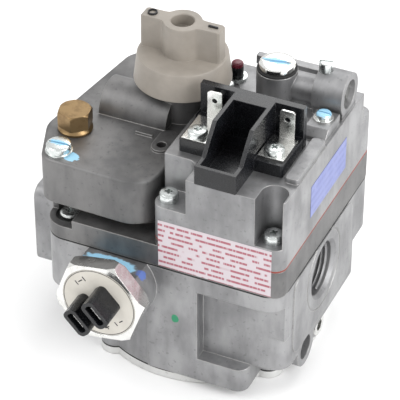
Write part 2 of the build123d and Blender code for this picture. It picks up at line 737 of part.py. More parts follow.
with BuildPart() as operator_housing:
    with BuildSketch(Plane.XY.offset(z_op)):
        with Locations((op_cx, op_cy)):
            RectangleRounded(op_x, op_y, op_corner)
    extrude(amount=op_h)
    # screw pockets: open corners at the left and rear, an arch at the front right
    with BuildSketch(Plane.XY.offset(op_screws_xyz[0][2])):
        with Locations((op_x0 - 5.0, front - 5.0)):
            RectangleRounded(2 * 5.0 + 10.0, 2 * 5.0 + 8.0, 4.9, align=(Align.MIN, Align.MIN))
        with Locations((op_x0 - 5.0, op_back + 5.0)):
            RectangleRounded(2 * 5.0 + 10.0, 2 * 5.0 + 7.0, 4.9, align=(Align.MIN, Align.MAX))
    extrude(amount=op_h, mode=Mode.SUBTRACT)
    with BuildSketch(Plane.XY.offset(op_screws_xyz[1][2])):
        with Locations((op_screws_xyz[1][0], op_screws_xyz[1][1])):
            Circle(5.4)
            Rectangle(10.8, 8.0, align=(Align.CENTER, Align.MAX))
    extrude(amount=op_h, mode=Mode.SUBTRACT)
    with BuildSketch(Plane.XY.offset(op_screws_xyz[2][2])):
        with Locations((half_x + 5.0, op_back + 5.0)):
            RectangleRounded(2 * 5.0 + 6.0, 2 * 5.0 + 6.5, 4.9, align=(Align.MAX, Align.MAX))
    extrude(amount=op_h, mode=Mode.SUBTRACT)
    # raised ridge beside the terminal block
    with BuildSketch(Plane.XY.offset(z_deck - 1.0)):
        with Locations(((ridge_x0 + half_x - 0.5) / 2, (block_front - 2.0 - 5.0) / 2)):
            RectangleRounded(half_x - 0.5 - ridge_x0, -5.0 - block_front + 2.0, 1.5)
    extrude(amount=3.4)
    # regulator tower, vent boss, its neck and the adjuster pad
    with Locations((tower_x, tower_y, z_deck - 1.0)):
        Cylinder(reg_tower_r, reg_tower_h + 1.0, align=BASE)
    with BuildSketch(Plane.YZ.offset(vent_x0)):
        with Locations((vent_y, vent_z)):
            Circle(vent_r)
        with Locations((vent_y, z_deck - 1.0)):
            Rectangle(2 * vent_r - 4.0, vent_axis_h, align=(Align.CENTER, Align.MIN))
    extrude(amount=vent_x1 - vent_x0)
    with BuildSketch(Plane.YZ.offset(tower_x)):
        with Locations((vent_y, vent_z - 2.0)):
            Circle(vent_r - 3.0)
        with Locations((vent_y, z_deck - 1.0)):
            Rectangle(9.0, vent_axis_h, align=(Align.CENTER, Align.MIN))
    extrude(amount=vent_x0 - tower_x)
    with Locations((adjuster_x, adjuster_y - 2.2, z_deck - 1.0)):
        Box(9.6, 15.0, pad_h + 1.0, align=BASE)
    pad_front = operator_housing.edges().filter_by(Axis.X).filter_by(
        lambda e: abs(e.center().X - adjuster_x) < 0.1 and abs(e.center().Z - z_deck - pad_h) < 0.1
        and e.center().Y < adjuster_y
    )
    chamfer(pad_front, 3.0)
    # rear bulkhead
    with Locations((op_cx - 4.0, op_back - 6.6, z_deck - 1.0)):
        Box(34.0, 3.0, 4.0, align=BASE)
    # regulator bore, vent bore, stud and adjuster holes
    with Locations((tower_x, tower_y, z_reg_top)):
        Cylinder(reg_bore_r, 38.0, align=HANG, mode=Mode.SUBTRACT)
    with BuildSketch(Plane.YZ.offset(vent_x1)):
        with Locations((vent_y, vent_z)):
            Circle(vent_bore_r)
    extrude(amount=-9.0, mode=Mode.SUBTRACT)
    with Locations((stud_x, vent_y, vent_z)):
        Cylinder(stud_r - 0.8 + running_gap, vent_r + 1.0, align=BASE, mode=Mode.SUBTRACT)
    with Locations((stud_x, vent_y, vent_z + vent_r - spot_face)):
        Cylinder(stud_r + running_gap, 2 * spot_face, align=BASE, mode=Mode.SUBTRACT)
    with Locations((adjuster_x, adjuster_y, z_deck + pad_h)):
        Cylinder(adjuster_shank_r + running_gap, 13.0, align=HANG, mode=Mode.SUBTRACT)
    # reset button bore and stem hole
    with Locations((reset_x, reset_y, z_deck)):
        Cylinder(reset_bore_r + 0.6, reset_pocket_h, align=HANG, mode=Mode.SUBTRACT)
        Cylinder(reset_stem_r + slip_gap, op_h, align=HANG, mode=Mode.SUBTRACT)
    # solenoid room and screw holes
    with Locations((coil_x, coil_y, z_op)):
        Cylinder(solenoid_room_r, solenoid_room_h, align=BASE, mode=Mode.SUBTRACT)
    with Locations(*[(x, y, z_op) for x, y, z in op_screws_xyz]):
        Cylinder(screw_hole_r, op_h, align=BASE, mode=Mode.SUBTRACT)
    with Locations((*block_screw, z_deck)):
        Cylinder(small_shank_r + running_gap, 8.0, align=HANG, mode=Mode.SUBTRACT)
save(operator_housing.part, "operator_housing")

with BuildPart() as operator_screws:
    for x, y, z in op_screws_xyz:
        add(machine_screws([(x, y, z)], screw_head_r, screw_head_h, screw_r, z - z_gasket + op_thread_l))
save(operator_screws.part, "operator_screws")

# regulator cap, seal ring, adjuster and spring
cap_flange_t = 2.6
adjuster_t = 4.0
z_adjuster = z_reg_top - 10.0
reg_floor = z_reg_top - 38.0
with BuildPart() as regulator_cap:
    with Locations((tower_x, tower_y, z_reg_top + gasket_t)):
        Cylinder(reg_cap_r, cap_flange_t, align=BASE)
    fillet(regulator_cap.faces().sort_by(Axis.Z)[-1].edges(), 0.6)
    with Locations((tower_x, tower_y, z_reg_top + gasket_t)):
        Cylinder(reg_bore_r - running_gap, 4.5, align=HANG)
    with Locations((tower_x, tower_y, z_reg_top + gasket_t + cap_flange_t)):
        Box(4 * reg_cap_r, 1.6, 2.4, mode=Mode.SUBTRACT)
save(regulator_cap.part, "regulator_cap")
save(washer(tower_x, tower_y, z_reg_top, reg_tower_r - 0.2, reg_bore_r, gasket_t), "regulator_seal")

with BuildPart() as regulator_adjuster:
    with Locations((tower_x, tower_y, z_adjuster)):
        Cylinder(reg_bore_r - running_gap, adjuster_t, align=HANG)
        Box(2 * reg_bore_r - 2.0, 1.4, 3.0, mode=Mode.SUBTRACT)
save(regulator_adjuster.part, "regulator_adjuster")
save(coil_spring(tower_x, tower_y, reg_floor, z_adjuster - adjuster_t - reg_floor, 4.2, 0.6, 7),
     "regulator_spring")

# vent plug, slotted stud and sealed pilot adjuster
with BuildPart() as vent_plug:
    with BuildSketch(Plane.YZ.offset(vent_x1 - 2.2)):
        with Locations((vent_y, vent_z)):
            Circle(vent_bore_r - running_gap)
    extrude(amount=-4.0)
    with Locations((vent_x1 - 2.2, vent_y, vent_z)):
        Box(2.4, 1.2, 4 * vent_bore_r, rotation=(24, 0, 0), mode=Mode.SUBTRACT)
save(vent_plug.part, "vent_plug")

with BuildPart() as vent_stud:
    with Locations((stud_x, vent_y, vent_z + vent_r - spot_face)):
        Cylinder(stud_r, 4.6, align=BASE)
    fillet(vent_stud.faces().sort_by(Axis.Z)[-1].edges(), 0.8)
    with Locations((stud_x, vent_y, vent_z + vent_r - spot_face)):
        Cylinder(stud_r - 0.8, 4.0, align=HANG)
    with Locations((stud_x, vent_y, vent_z + vent_r + 4.3)):
        Box(4 * stud_r, 0.9, 2.4, mode=Mode.SUBTRACT)
save(vent_stud.part, "vent_stud")

adjuster_washer_t = 0.8
save(washer(adjuster_x, adjuster_y, z_deck + pad_h, 4.1, adjuster_shank_r + running_gap, adjuster_washer_t),
     "pilot_adjuster_washer")
save(machine_screws([(adjuster_x, adjuster_y, z_deck + pad_h + adjuster_washer_t)], 3.1, 2.2,
                    adjuster_shank_r, 12.0, recess="slot"), "pilot_adjuster")

# ------------------------------------------------------------ terminal block
block_cx = (block_x0 + block_x1) / 2
well_cx = (well_x0 + well_x1) / 2
well_back = barrier_y
post_inset = 6.6
plate_seat_t = 0.8
left_post = (block_x0 + post_inset - 0.6, block_front + 5.0)
right_post = (block_x1 - post_inset + 0.4, block_front + post_inset)
tab_x_left = block_x0 + 7.8
tab_x_right = block_x1 - 5.4
tab_top = 13.5
tab_y = barrier_y - 3.4
ear_t = 2.0

with BuildPart() as terminal_block:
    with Locations((block_cx, (block_front + barrier_y) / 2, z_deck)):
        Box(block_x1 - block_x0, barrier_y - block_front, block_platform_h, align=BASE)
    vertical = terminal_block.edges().filter_by(Axis.Z)
    fillet(vertical, 1.0)
    # rear barrier
    with Locations((block_cx, barrier_y + barrier_t / 2, z_deck)):
        Box(block_x1 - block_x0, barrier_t, barrier_h, align=BASE)
    # central well with sloping side walls, as a profile seen from the side
    with BuildSketch(Plane.YZ.offset(well_x0)):
        with BuildLine():
            Polyline(
                (well_front, z_deck + 0.1),
                (well_front, z_deck + well_lip_h),
                (well_front + 7.0, z_deck + well_lip_h),
                (well_front + 12.0, z_deck + barrier_h - 5.0),
                (well_front + 17.0, z_deck + barrier_h),
                (well_back, z_deck + barrier_h),
                (well_back, z_deck + 0.1),
                close=True,
            )
        make_face()
    extrude(amount=well_x1 - well_x0)
    with Locations((well_cx, well_front + well_wall, z_deck + 1.8)):
        Box(well_x1 - well_x0 - 2 * well_wall, well_back - well_front - well_wall - 5.0, barrier_h,
            align=(Align.CENTER, Align.MIN, Align.MIN), mode=Mode.SUBTRACT)
    # mounting ear
    with BuildSketch(Plane.XY.offset(z_deck)):
        with Locations((block_screw[0] + 1.2, (barrier_y + block_screw[1]) / 2 + 2.0)):
            RectangleRounded(8.0, block_screw[1] - barrier_y + 4.0, 2.0)
    extrude(amount=ear_t)
    # tapped holes and screw hole
    with Locations((*left_post, z_platform), (*right_post, z_platform)):
        Cylinder(small_shank_r + running_gap, 4.8, align=HANG, mode=Mode.SUBTRACT)
    with Locations((*block_screw, z_deck)):
        Cylinder(small_shank_r + running_gap, ear_t, align=BASE, mode=Mode.SUBTRACT)
save(terminal_block.part, "terminal_block")


def terminal(post_x, post_y, x0, x1, tab_x):
    """A terminal strip under its screw, with an upright quick-connect tab."""
    with BuildPart() as strip:
        with Locations(((x0 + x1) / 2, (post_y - 4.2 + tab_y) / 2, z_platform)):
            Box(x1 - x0, tab_y - post_y + 4.2, plate_seat_t, align=BASE)
        with Locations((post_x, post_y, z_platform)):
            Cylinder(small_shank_r + running_gap, plate_seat_t, align=BASE, mode=Mode.SUBTRACT)
        with Locations((tab_x, tab_y, z_platform)):
            Box(tab_w, tab_t, tab_top, align=BASE)
        corners = strip.edges().filter_by(Axis.Y).filter_by(
            lambda e: abs(e.center().Z - z_platform - tab_top) < 0.01
        )
        fillet(corners, 1.2)
        with Locations((tab_x, tab_y, z_platform + tab_top - 4.0)):
            Cylinder(1.1, 4 * tab_t, rotation=(90, 0, 0), mode=Mode.SUBTRACT)
    return strip.part


strip_gap = 0.4
save(terminal(*left_post, block_x0 + 0.8, well_x0 - strip_gap, tab_x_left), "terminal_left")
save(terminal(*right_post, well_x1 + strip_gap, block_x1 - 0.8, tab_x_right), "terminal_right")
save(machine_screws([(*left_post, z_platform + plate_seat_t), (*right_post, z_platform + plate_seat_t)],
                    small_head_r, small_head_h, small_shank_r, 5.0), "terminal_screws")
save(machine_screws([(*block_screw, z_deck + ear_t)], 3.5, 2.4, small_shank_r, 9.0), "terminal_block_screw")

# ------------------------------------------------------------ operator solenoid
bobbin_gap = 0.1
z_coil = z_op + coil_lift
with BuildPart() as solenoid_coil:
    with Locations((coil_x, coil_y, z_coil)):
        Cylinder(coil_r - frame_t - bobbin_gap, coil_h, align=BASE)
        Cylinder(plunger_r + 0.9, coil_h, align=BASE, mode=Mode.SUBTRACT)
save(solenoid_coil.part, "solenoid_coil")
with BuildPart() as solenoid_frame:
    with Locations((coil_x, coil_y, z_coil)):
        Cylinder(coil_r, coil_h + frame_t, align=BASE)
        Cylinder(coil_r - frame_t, coil_h, align=BASE, mode=Mode.SUBTRACT)
        Cylinder(1.5, coil_h + frame_t, align=BASE, mode=Mode.SUBTRACT)
save(solenoid_frame.part, "solenoid_frame")
plunger_rest_gap = 2.2
with BuildPart() as solenoid_plunger:
    with Locations((coil_x, coil_y, z_op + 0.2)):
        Cylinder(plunger_r, coil_h - plunger_rest_gap - 3.0, align=BASE)
    with Locations((coil_x, coil_y, z_op + 0.2)):
        Cylinder(1.5, 4.0, align=HANG)
save(solenoid_plunger.part, "solenoid_plunger")
z_plunger_top = z_op + 0.2 + coil_h - plunger_rest_gap - 3.0
save(coil_spring(coil_x, coil_y, z_plunger_top, z_coil + coil_h - z_plunger_top, 2.4, 0.4, 3),
     "plunger_spring")

# ------------------------------------------------------------ power unit
nut_back_y = power_boss_y
nut_front_y = nut_back_y - power_nut_t
socket_depth = 1.2
barrel_end_y = pocket_y0 + 4.0
core_face_y = barrel_end_y - 4.2
with BuildPart() as power_nut:
    with BuildSketch(Plane.XZ.offset(-nut_back_y)):
        with Locations((power_x, power_z)):
            RegularPolygon(power_nut_af / 2, 6, major_radius=False, rotation=20)
    extrude(amount=power_nut_t)
    with BuildSketch(Plane.XZ.offset(-nut_front_y)):
        with Locations((power_x, power_z)):
            Circle(power_disc_r + running_gap)
    extrude(amount=-socket_depth, mode=Mode.SUBTRACT)
    with BuildSketch(Plane.XZ.offset(-nut_back_y)):
        with Locations((power_x, power_z)):
            Circle(barrel_r + running_gap)
    extrude(amount=power_nut_t, mode=Mode.SUBTRACT)
save(power_nut.part, "power_nut")

with BuildPart() as power_barrel:
    with BuildSketch(Plane.XZ.offset(-barrel_end_y)):
        with Locations((power_x, power_z)):
            Circle(barrel_r)
            Circle(barrel_r - barrel_wall, mode=Mode.SUBTRACT)
    extrude(amount=barrel_end_y - nut_front_y - socket_depth)
save(power_barrel.part, "power_barrel")

shroud_at = [(-4.2, -3.2), (3.9, 3.3)]
with BuildPart() as power_disc:
    with BuildSketch(Plane.XZ.offset(-nut_front_y - socket_depth)):
        with Locations((power_x, power_z)):
            Circle(power_disc_r)
    extrude(amount=power_disc_t)
save(power_disc.part, "power_disc")
disc_face_y = nut_front_y + socket_depth - power_disc_t

with BuildPart() as terminal_shrouds:
    with BuildSketch(Plane.XZ.offset(-disc_face_y)):
        with Locations(*[(power_x + u, power_z + w) for u, w in shroud_at]):
            RectangleRounded(shroud_l, shroud_w, 2.4, rotation=shroud_tilt)
    extrude(amount=shroud_h)
    with BuildSketch(Plane.XZ.offset(-disc_face_y)):
        with Locations(*[(power_x + u, power_z + w) for u, w in shroud_at]):
            RectangleRounded(shroud_l - 3.0, shroud_w - 3.0, 1.2, rotation=shroud_tilt)
    extrude(amount=shroud_h, mode=Mode.SUBTRACT)
save(terminal_shrouds.part, "terminal_shrouds")

with BuildPart() as power_blades:
    with BuildSketch(Plane.XZ.offset(-disc_face_y)):
        with Locations(*[(power_x + u, power_z + w) for u, w in shroud_at]):
            Rectangle(tab_w, tab_t, rotation=shroud_tilt)
    extrude(amount=shroud_h - 1.6)
save(power_blades.part, "power_blades")

with BuildPart() as magnet_core:
    with BuildSketch(Plane.XZ.offset(-core_face_y)):
        with Locations((power_x, power_z)):
            Circle(2.6)
    extrude(amount=core_face_y - nut_front_y - socket_depth)
save(magnet_core.part, "magnet_core")
with BuildPart() as magnet_coil:
    with BuildSketch(Plane.XZ.offset(-core_face_y + 1.0)):
        with Locations((power_x, power_z)):
            Circle(6.4)
            Circle(2.6 + running_gap, mode=Mode.SUBTRACT)
    extrude(amount=12.0)
save(magnet_coil.part, "magnet_coil")

# ------------------------------------------------------------ flame-safety valve
armature_gap = safety_travel + 0.2
armature_y = core_face_y + armature_gap
rocker_y = reset_y - rocker_arm
rocker_r = 1.5
stem_end_y = rocker_y - rocker_r - slip_gap
with BuildPart() as safety_valve:
    with BuildSketch(Plane.XZ.offset(-armature_y - 1.8)):
        with Locations((power_x, power_z)):
            Circle(6.6)
    extrude(amount=1.8)
    with BuildSketch(Plane.XZ.offset(-stem_end_y)):
        with Locations((power_x, power_z)):
            Circle(1.5)
    extrude(amount=stem_end_y - armature_y - 1.0)
    with BuildSketch(Plane.XZ.offset(-partition_y0 + 1.5)):
        with Locations((power_x, power_z)):
            Circle(safety_disc_r)
    extrude(amount=1.6)
save(safety_valve.part, "safety_valve")
with BuildPart() as safety_valve_seal:
    with BuildSketch(Plane.XZ.offset(-partition_y0 + 0.05)):
        with Locations((power_x, power_z)):
            Circle(safety_disc_r)
            Circle(1.5, mode=Mode.SUBTRACT)
    extrude(amount=1.45)
save(safety_valve_seal.part, "safety_valve_seal")

with BuildPart() as safety_spring:
    disc_back_y = partition_y0 - 3.1
    spring_l = disc_back_y - barrel_end_y
    with BuildLine() as spring_path:
        Helix((spring_l - 1.2) / 4, spring_l - 1.2, 7.9,
              center=(power_x, barrel_end_y + 0.6, power_z), direction=(0, 1, 0))
    with BuildSketch(Plane(origin=spring_path.line @ 0, z_dir=spring_path.line % 0)):
        Circle(0.5)
    sweep(is_frenet=True)
save(safety_spring.part, "safety_spring")

# ------------------------------------------------------------ reset button and rocker
rocker_z = power_z + rocker_arm
stem_tip_z = rocker_z + rocker_r + 2 * slip_gap
cap_h = 2.4
with BuildPart() as reset_button:
    with Locations((reset_x, reset_y, z_deck + reset_stand - cap_h)):
        Cylinder(reset_r - 0.1, cap_h, align=BASE)
    fillet(reset_button.faces().sort_by(Axis.Z)[-1].edges(), 0.8)
save(reset_button.part, "reset_button")
with BuildPart() as reset_stem:
    with Locations((reset_x, reset_y, z_deck + reset_stand - cap_h)):
        Cylinder(reset_r, reset_stand - cap_h + 3.0, align=HANG)
        Cylinder(reset_stem_r, z_deck + reset_stand - cap_h - stem_tip_z, align=HANG)
    fillet(reset_stem.faces().sort_by(Axis.Z)[0].edges(), reset_stem_r * 0.8)
save(reset_stem.part, "reset_stem")
save(washer(reset_x, reset_y, z_deck, 4.2, reset_r + 0.1, 1.2), "reset_bush")
save(coil_spring(reset_x, reset_y, z_deck - reset_pocket_h, reset_pocket_h - 3.0, 2.2, 0.35, 5),
     "reset_spring")

with BuildPart() as reset_rocker:
    with Locations(((reset_x + power_x) / 2, rocker_y, rocker_z)):
        Cylinder(rocker_r, reset_x - power_x + 8.0, rotation=(0, 90, 0))
    with Locations((reset_x, rocker_y, rocker_z)):
        Box(2 * rocker_r, rocker_arm + 2.0, 2 * rocker_r, align=(Align.CENTER, Align.MIN, Align.CENTER))
    with Locations((power_x, rocker_y, rocker_z)):
        Box(2 * rocker_r, 2 * rocker_r, rocker_arm + 2.0, align=(Align.CENTER, Align.CENTER, Align.MAX))
save(reset_rocker.part, "reset_rocker")
with BuildPart() as rocker_brackets:
    for bracket_x in (power_x - 3.4, reset_x + 3.4):
        with Locations((bracket_x, rocker_y, pocket_z0)):
            Box(1.6, 6.0, rocker_z + 2.8 - pocket_z0, align=BASE)
    with Locations(((reset_x + power_x) / 2, rocker_y, rocker_z)):
        Cylinder(rocker_r + running_gap, reset_x - power_x + 20.0, rotation=(0, 90, 0), mode=Mode.SUBTRACT)
save(rocker_brackets.part, "rocker_brackets")

# ------------------------------------------------------------ main valve
seat_gap = 0.05
with BuildPart() as main_valve:
    with Locations((0, 0, pocket_z0 + seat_gap + 1.5)):
        Cylinder(valve_disc_r, 1.6, align=BASE)
    with Locations((0, 0, z_body + 0.2)):
        Cylinder(valve_stem_r, pocket_z0 - z_body + 3.0, align=BASE)
        Cylinder(diaphragm_plate_r, 1.4, align=BASE)
save(main_valve.part, "main_valve")
save(washer(0, 0, pocket_z0 + seat_gap, valve_disc_r, valve_stem_r, 1.5), "main_valve_seal")
save(coil_spring(0, 0, pocket_z0 + seat_gap + 3.1, z_cover - pocket_z0 - seat_gap - 3.1, 5.0, 0.6, 5),
     "main_valve_spring")

# ------------------------------------------------------------ plug, screen and labels
with BuildPart() as pressure_plug:
    with BuildSketch(Plane.YZ.offset(plug_x + 1.2)):
        with Locations((plug_y, plug_z)):
            Circle(plug_r)
    extrude(amount=-plug_depth)
    with BuildSketch(Plane.YZ.offset(plug_x + 1.2)):
        with Locations((plug_y, plug_z)):
            RegularPolygon(2.4, 6, major_radius=False)
    extrude(amount=-3.5, mode=Mode.SUBTRACT)
save(pressure_plug.part, "pressure_plug")

screen_x = inlet_x + pipe_depth - screen_room
with BuildPart() as inlet_screen:
    with BuildSketch(Plane.YZ.offset(screen_x)):
        with Locations((pipe_y, pipe_z)):
            Circle(screen_r - running_gap)
            with GridLocations(3.2, 3.2, 5, 5):
                Rectangle(2.4, 2.4, mode=Mode.SUBTRACT)
    extrude(amount=0.6)
save(inlet_screen.part, "inlet_screen")

label_t = 0.12
label_w = op_x - 7.5
label_h = 22.5
side_label_w = 37.0
side_label_h = 15.0
with BuildPart() as front_label:
    with BuildSketch(Plane.XZ.offset(-front)):
        with Locations((op_cx - 0.75, z_cover + 0.6 + label_h / 2)):
            Rectangle(label_w, label_h)
    extrude(amount=label_t)
save(front_label.part, "front_label")
with BuildPart() as side_label:
    with BuildSketch(Plane.YZ.offset(half_x)):
        with Locations((op_cy - 1.0, z_op + 15.5)):
            Rectangle(side_label_w, side_label_h)
    extrude(amount=label_t)
save(side_label.part, "side_label")
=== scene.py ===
"""Visual model of a combination gas control valve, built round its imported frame.

Every length is in metres. The castings, gaskets, springs and inner pieces are the
frame's own nodes with better finishes. The knob, screws, plugs, nut, caps, threads
and paint marks are modelled here and stand for the plain nodes.
"""

import enum
import logging
import math
from dataclasses import dataclass, field
from typing import Mapping, Sequence, Union

import bpy
import numpy as np
from mathutils import Euler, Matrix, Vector


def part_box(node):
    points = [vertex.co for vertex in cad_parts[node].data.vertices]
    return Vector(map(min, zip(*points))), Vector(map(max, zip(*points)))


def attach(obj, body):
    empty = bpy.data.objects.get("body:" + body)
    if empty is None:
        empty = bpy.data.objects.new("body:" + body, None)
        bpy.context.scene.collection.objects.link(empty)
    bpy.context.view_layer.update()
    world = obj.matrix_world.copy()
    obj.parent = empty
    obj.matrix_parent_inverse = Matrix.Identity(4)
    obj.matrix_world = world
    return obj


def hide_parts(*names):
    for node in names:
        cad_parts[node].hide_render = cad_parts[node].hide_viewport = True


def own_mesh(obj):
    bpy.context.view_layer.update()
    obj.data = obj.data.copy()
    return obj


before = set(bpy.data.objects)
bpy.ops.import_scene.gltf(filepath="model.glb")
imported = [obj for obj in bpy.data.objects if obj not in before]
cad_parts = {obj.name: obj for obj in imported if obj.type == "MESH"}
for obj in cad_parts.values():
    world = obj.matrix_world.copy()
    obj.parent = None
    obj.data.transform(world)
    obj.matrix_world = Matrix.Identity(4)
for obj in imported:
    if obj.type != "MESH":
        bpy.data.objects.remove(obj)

LOG = logging.getLogger("gas_valve")
ROOT_BODY = "valve_body"
Number = Union[int, float]
Point = tuple[float, float, float]
Colour = tuple[float, float, float]


# --------------------------------------------------------------------------- shader maths


class Signal:
    """One output socket of a material, with arithmetic that adds Math nodes."""

    def __init__(self, web: "NodeWeb", socket: bpy.types.NodeSocket) -> None:
        """Keep the socket and the web it belongs to."""
        self.web = web
        self.socket = socket

    def __add__(self, other: "Signal | Number") -> "Signal":
        """Sum of this value and another."""
        return self.web.maths("ADD", self, other)

    def __radd__(self, other: Number) -> "Signal":
        """Sum with a number on the left."""
        return self.web.maths("ADD", other, self)

    def __sub__(self, other: "Signal | Number") -> "Signal":
        """Difference of this value and another."""
        return self.web.maths("SUBTRACT", self, other)

    def __rsub__(self, other: Number) -> "Signal":
        """Difference with a number on the left."""
        return self.web.maths("SUBTRACT", other, self)

    def __mul__(self, other: "Signal | Number") -> "Signal":
        """Product of this value and another."""
        return self.web.maths("MULTIPLY", self, other)

    def __rmul__(self, other: Number) -> "Signal":
        """Product with a number on the left."""
        return self.web.maths("MULTIPLY", other, self)

    def __truediv__(self, other: "Signal | Number") -> "Signal":
        """Quotient of this value and another."""
        return self.web.maths("DIVIDE", self, other)

    def wrapped(self, period: float) -> "Signal":
        """This value modulo a period, from 0 up to the period."""
        return self.web.maths("FLOORED_MODULO", self, period)

    def ramp(self, low: float, high: float, out_low: float = 0.0, out_high: float = 1.0) -> "Signal":
        """Smooth step of this value.

        Args:
            low: Value at which the step starts.
            high: Value at which the step ends.
            out_low: Result below the step.
            out_high: Result above the step.

        Returns:
            The stepped value.
        """
        node = self.web.node(
            "ShaderNodeMapRange",
            {"interpolation_type": "SMOOTHSTEP"},
            {"Value": self, "From Min": low, "From Max": high, "To Min": out_low, "To Max": out_high},
        )
        return Signal(self.web, node.outputs["Result"])


class NodeWeb:
    """The node tree of one material, with a Principled shader ready to feed."""

    def __init__(self, name: str) -> None:
        """Make an empty material and its shader.

        Args:
            name: Name of the material.
        """
        self.material = bpy.data.materials.new(name)
        self.material.use_nodes = True
        self.tree = self.material.node_tree
        self.tree.nodes.clear()
        self.shader = self.node("ShaderNodeBsdfPrincipled")
        output = self.node("ShaderNodeOutputMaterial")
        self.tree.links.new(self.shader.outputs["BSDF"], output.inputs["Surface"])

    def node(
        self,
        kind: str,
        settings: Mapping[str, object] | None = None,
        inputs: Mapping[Union[str, int], object] | None = None,
    ) -> bpy.types.Node:
        """Add a node, set it up and feed it.

        Args:
            kind: Blender's type name of the node.
            settings: Attributes of the node, set before its inputs.
            inputs: Values or signals by socket name or number.

        Returns:
            The new node.
        """
        made = self.tree.nodes.new(kind)
        for key, value in (settings or {}).items():
            setattr(made, key, value)
        for key, value in (inputs or {}).items():
            self.feed(made.inputs[key], value)
        return made

    def feed(self, socket: bpy.types.NodeSocket, value: object) -> None:
        """Link a signal to a socket, or set a plain value on it."""
        if isinstance(value, Signal):
            self.tree.links.new(value.socket, socket)
        elif isinstance(value, tuple) and len(value) == 3 and socket.type == "RGBA":
            socket.default_value = (*value, 1.0)
        else:
            socket.default_value = value

    def maths(self, operation: str, first: Signal | Number, second: Signal | Number) -> Signal:
        """Add a Math node for two values."""
        made = self.node("ShaderNodeMath", {"operation": operation}, {0: first, 1: second})
        return Signal(self, made.outputs["Value"])

    def place(self) -> Signal:
        """Position on the object, in metres."""
        return Signal(self, self.node("ShaderNodeTexCoord").outputs["Object"])

    def split(self, vector: Signal) -> tuple[Signal, Signal, Signal]:
        """The three parts of a vector."""
        made = self.node("ShaderNodeSeparateXYZ", None, {0: vector})
        return tuple(Signal(self, made.outputs[axis]) for axis in "XYZ")

    def noise(self, vector: Signal, scale: float, detail: float = 2.0, rough: float = 0.5) -> Signal:
        """Fractal noise.

        Args:
            vector: Where to look the noise up.
            scale: Features per metre.
            detail: Octaves of finer noise.
            rough: Strength of each finer octave.

        Returns:
            A value from 0 to 1.
        """
        made = self.node(
            "ShaderNodeTexNoise", None, {"Vector": vector, "Scale": scale, "Detail": detail, "Roughness": rough}
        )
        return Signal(self, made.outputs["Fac"])

    def stretched(self, vector: Signal, scale: Point) -> Signal:
        """The vector with each axis scaled, to draw a pattern out along an axis."""
        made = self.node("ShaderNodeMapping", None, {"Vector": vector, "Scale": scale})
        return Signal(self, made.outputs["Vector"])

    def blend(self, factor: Signal | Number, first: Signal | Colour, second: Signal | Colour) -> Signal:
        """Mix two colours."""
        made = self.node("ShaderNodeMix", {"data_type": "RGBA"}, {0: factor, 6: first, 7: second})
        return Signal(self, made.outputs[2])

    def distance(self, vector: Signal, centre: Point, radii: Point) -> Signal:
        """Distance from a centre in units of three radii, 1 on the ellipsoid's surface."""
        shifted = self.node("ShaderNodeVectorMath", {"operation": "SUBTRACT"}, {0: vector, 1: centre})
        scaled = self.node(
            "ShaderNodeVectorMath", {"operation": "DIVIDE"}, {0: Signal(self, shifted.outputs["Vector"]), 1: radii}
        )
        length = self.node(
            "ShaderNodeVectorMath", {"operation": "LENGTH"}, {0: Signal(self, scaled.outputs["Vector"])}
        )
        return Signal(self, length.outputs["Value"])

    def rounded_normal(self, radius: float) -> Signal:
        """Normal with its edges rounded by a radius."""
        made = self.node("ShaderNodeBevel", {"samples": 6}, {"Radius": radius})
        return Signal(self, made.outputs["Normal"])

    def edge_mask(self, rounded: Signal) -> Signal:
        """Value that rises towards 1 where the rounded normal leaves the flat one."""
        flat = self.node("ShaderNodeNewGeometry")
        dot = self.node(
            "ShaderNodeVectorMath", {"operation": "DOT_PRODUCT"},
            {0: rounded, 1: Signal(self, flat.outputs["Normal"])},
        )
        return (1.0 - Signal(self, dot.outputs["Value"])).ramp(0.01, 0.22)

    def bump(self, height: Signal, strength: float, depth: float, normal: Signal | None = None) -> Signal:
        """Bumped normal.

        Args:
            height: Height from 0 to 1.
            strength: How strongly the bump shows.
            depth: Height difference in metres.
            normal: Normal to start from.

        Returns:
            The new normal.
        """
        inputs: dict[str, object] = {"Height": height, "Strength": strength, "Distance": depth}
        if normal is not None:
            inputs["Normal"] = normal
        return Signal(self, self.node("ShaderNodeBump", None, inputs).outputs["Normal"])

    def set(self, **values: object) -> None:
        """Feed the shader's own sockets, with spaces written as underscores."""
        for key, value in values.items():
            self.feed(self.shader.inputs[key.replace("_", " ")], value)


# --------------------------------------------------------------------------- finishes


@dataclass(frozen=True)
class PaintDab:
    """A dab of inspection paint on a casting."""

    centre: Point
    radii: Point
    colour: Colour
    raggedness: float = 0.35

    def lay(
        self, web: NodeWeb, place: Signal, colour: Signal, metal: "Signal | float", grain: float, octaves: float,
        fade: tuple[float, float],
    ) -> "tuple[Signal, Signal | float]":
        """Paint the dab over a metal.

        Args:
            web: Node tree of the metal.
            place: Position on the piece.
            colour: The metal's colour so far.
            metal: The metal's metallic value so far.
            grain: Features per metre along the dab's ragged edge.
            octaves: Finer noise on that edge.
            fade: Distances between which the paint thins out.

        Returns:
            The new colour and metallic value.
        """
        ragged = web.distance(place, self.centre, self.radii) + (web.noise(place, grain, octaves) - 0.5) * (
            2.0 * self.raggedness
        )
        mask = 1.0 - ragged.ramp(*fade)
        return web.blend(mask, colour, self.colour), metal * (1.0 - mask)


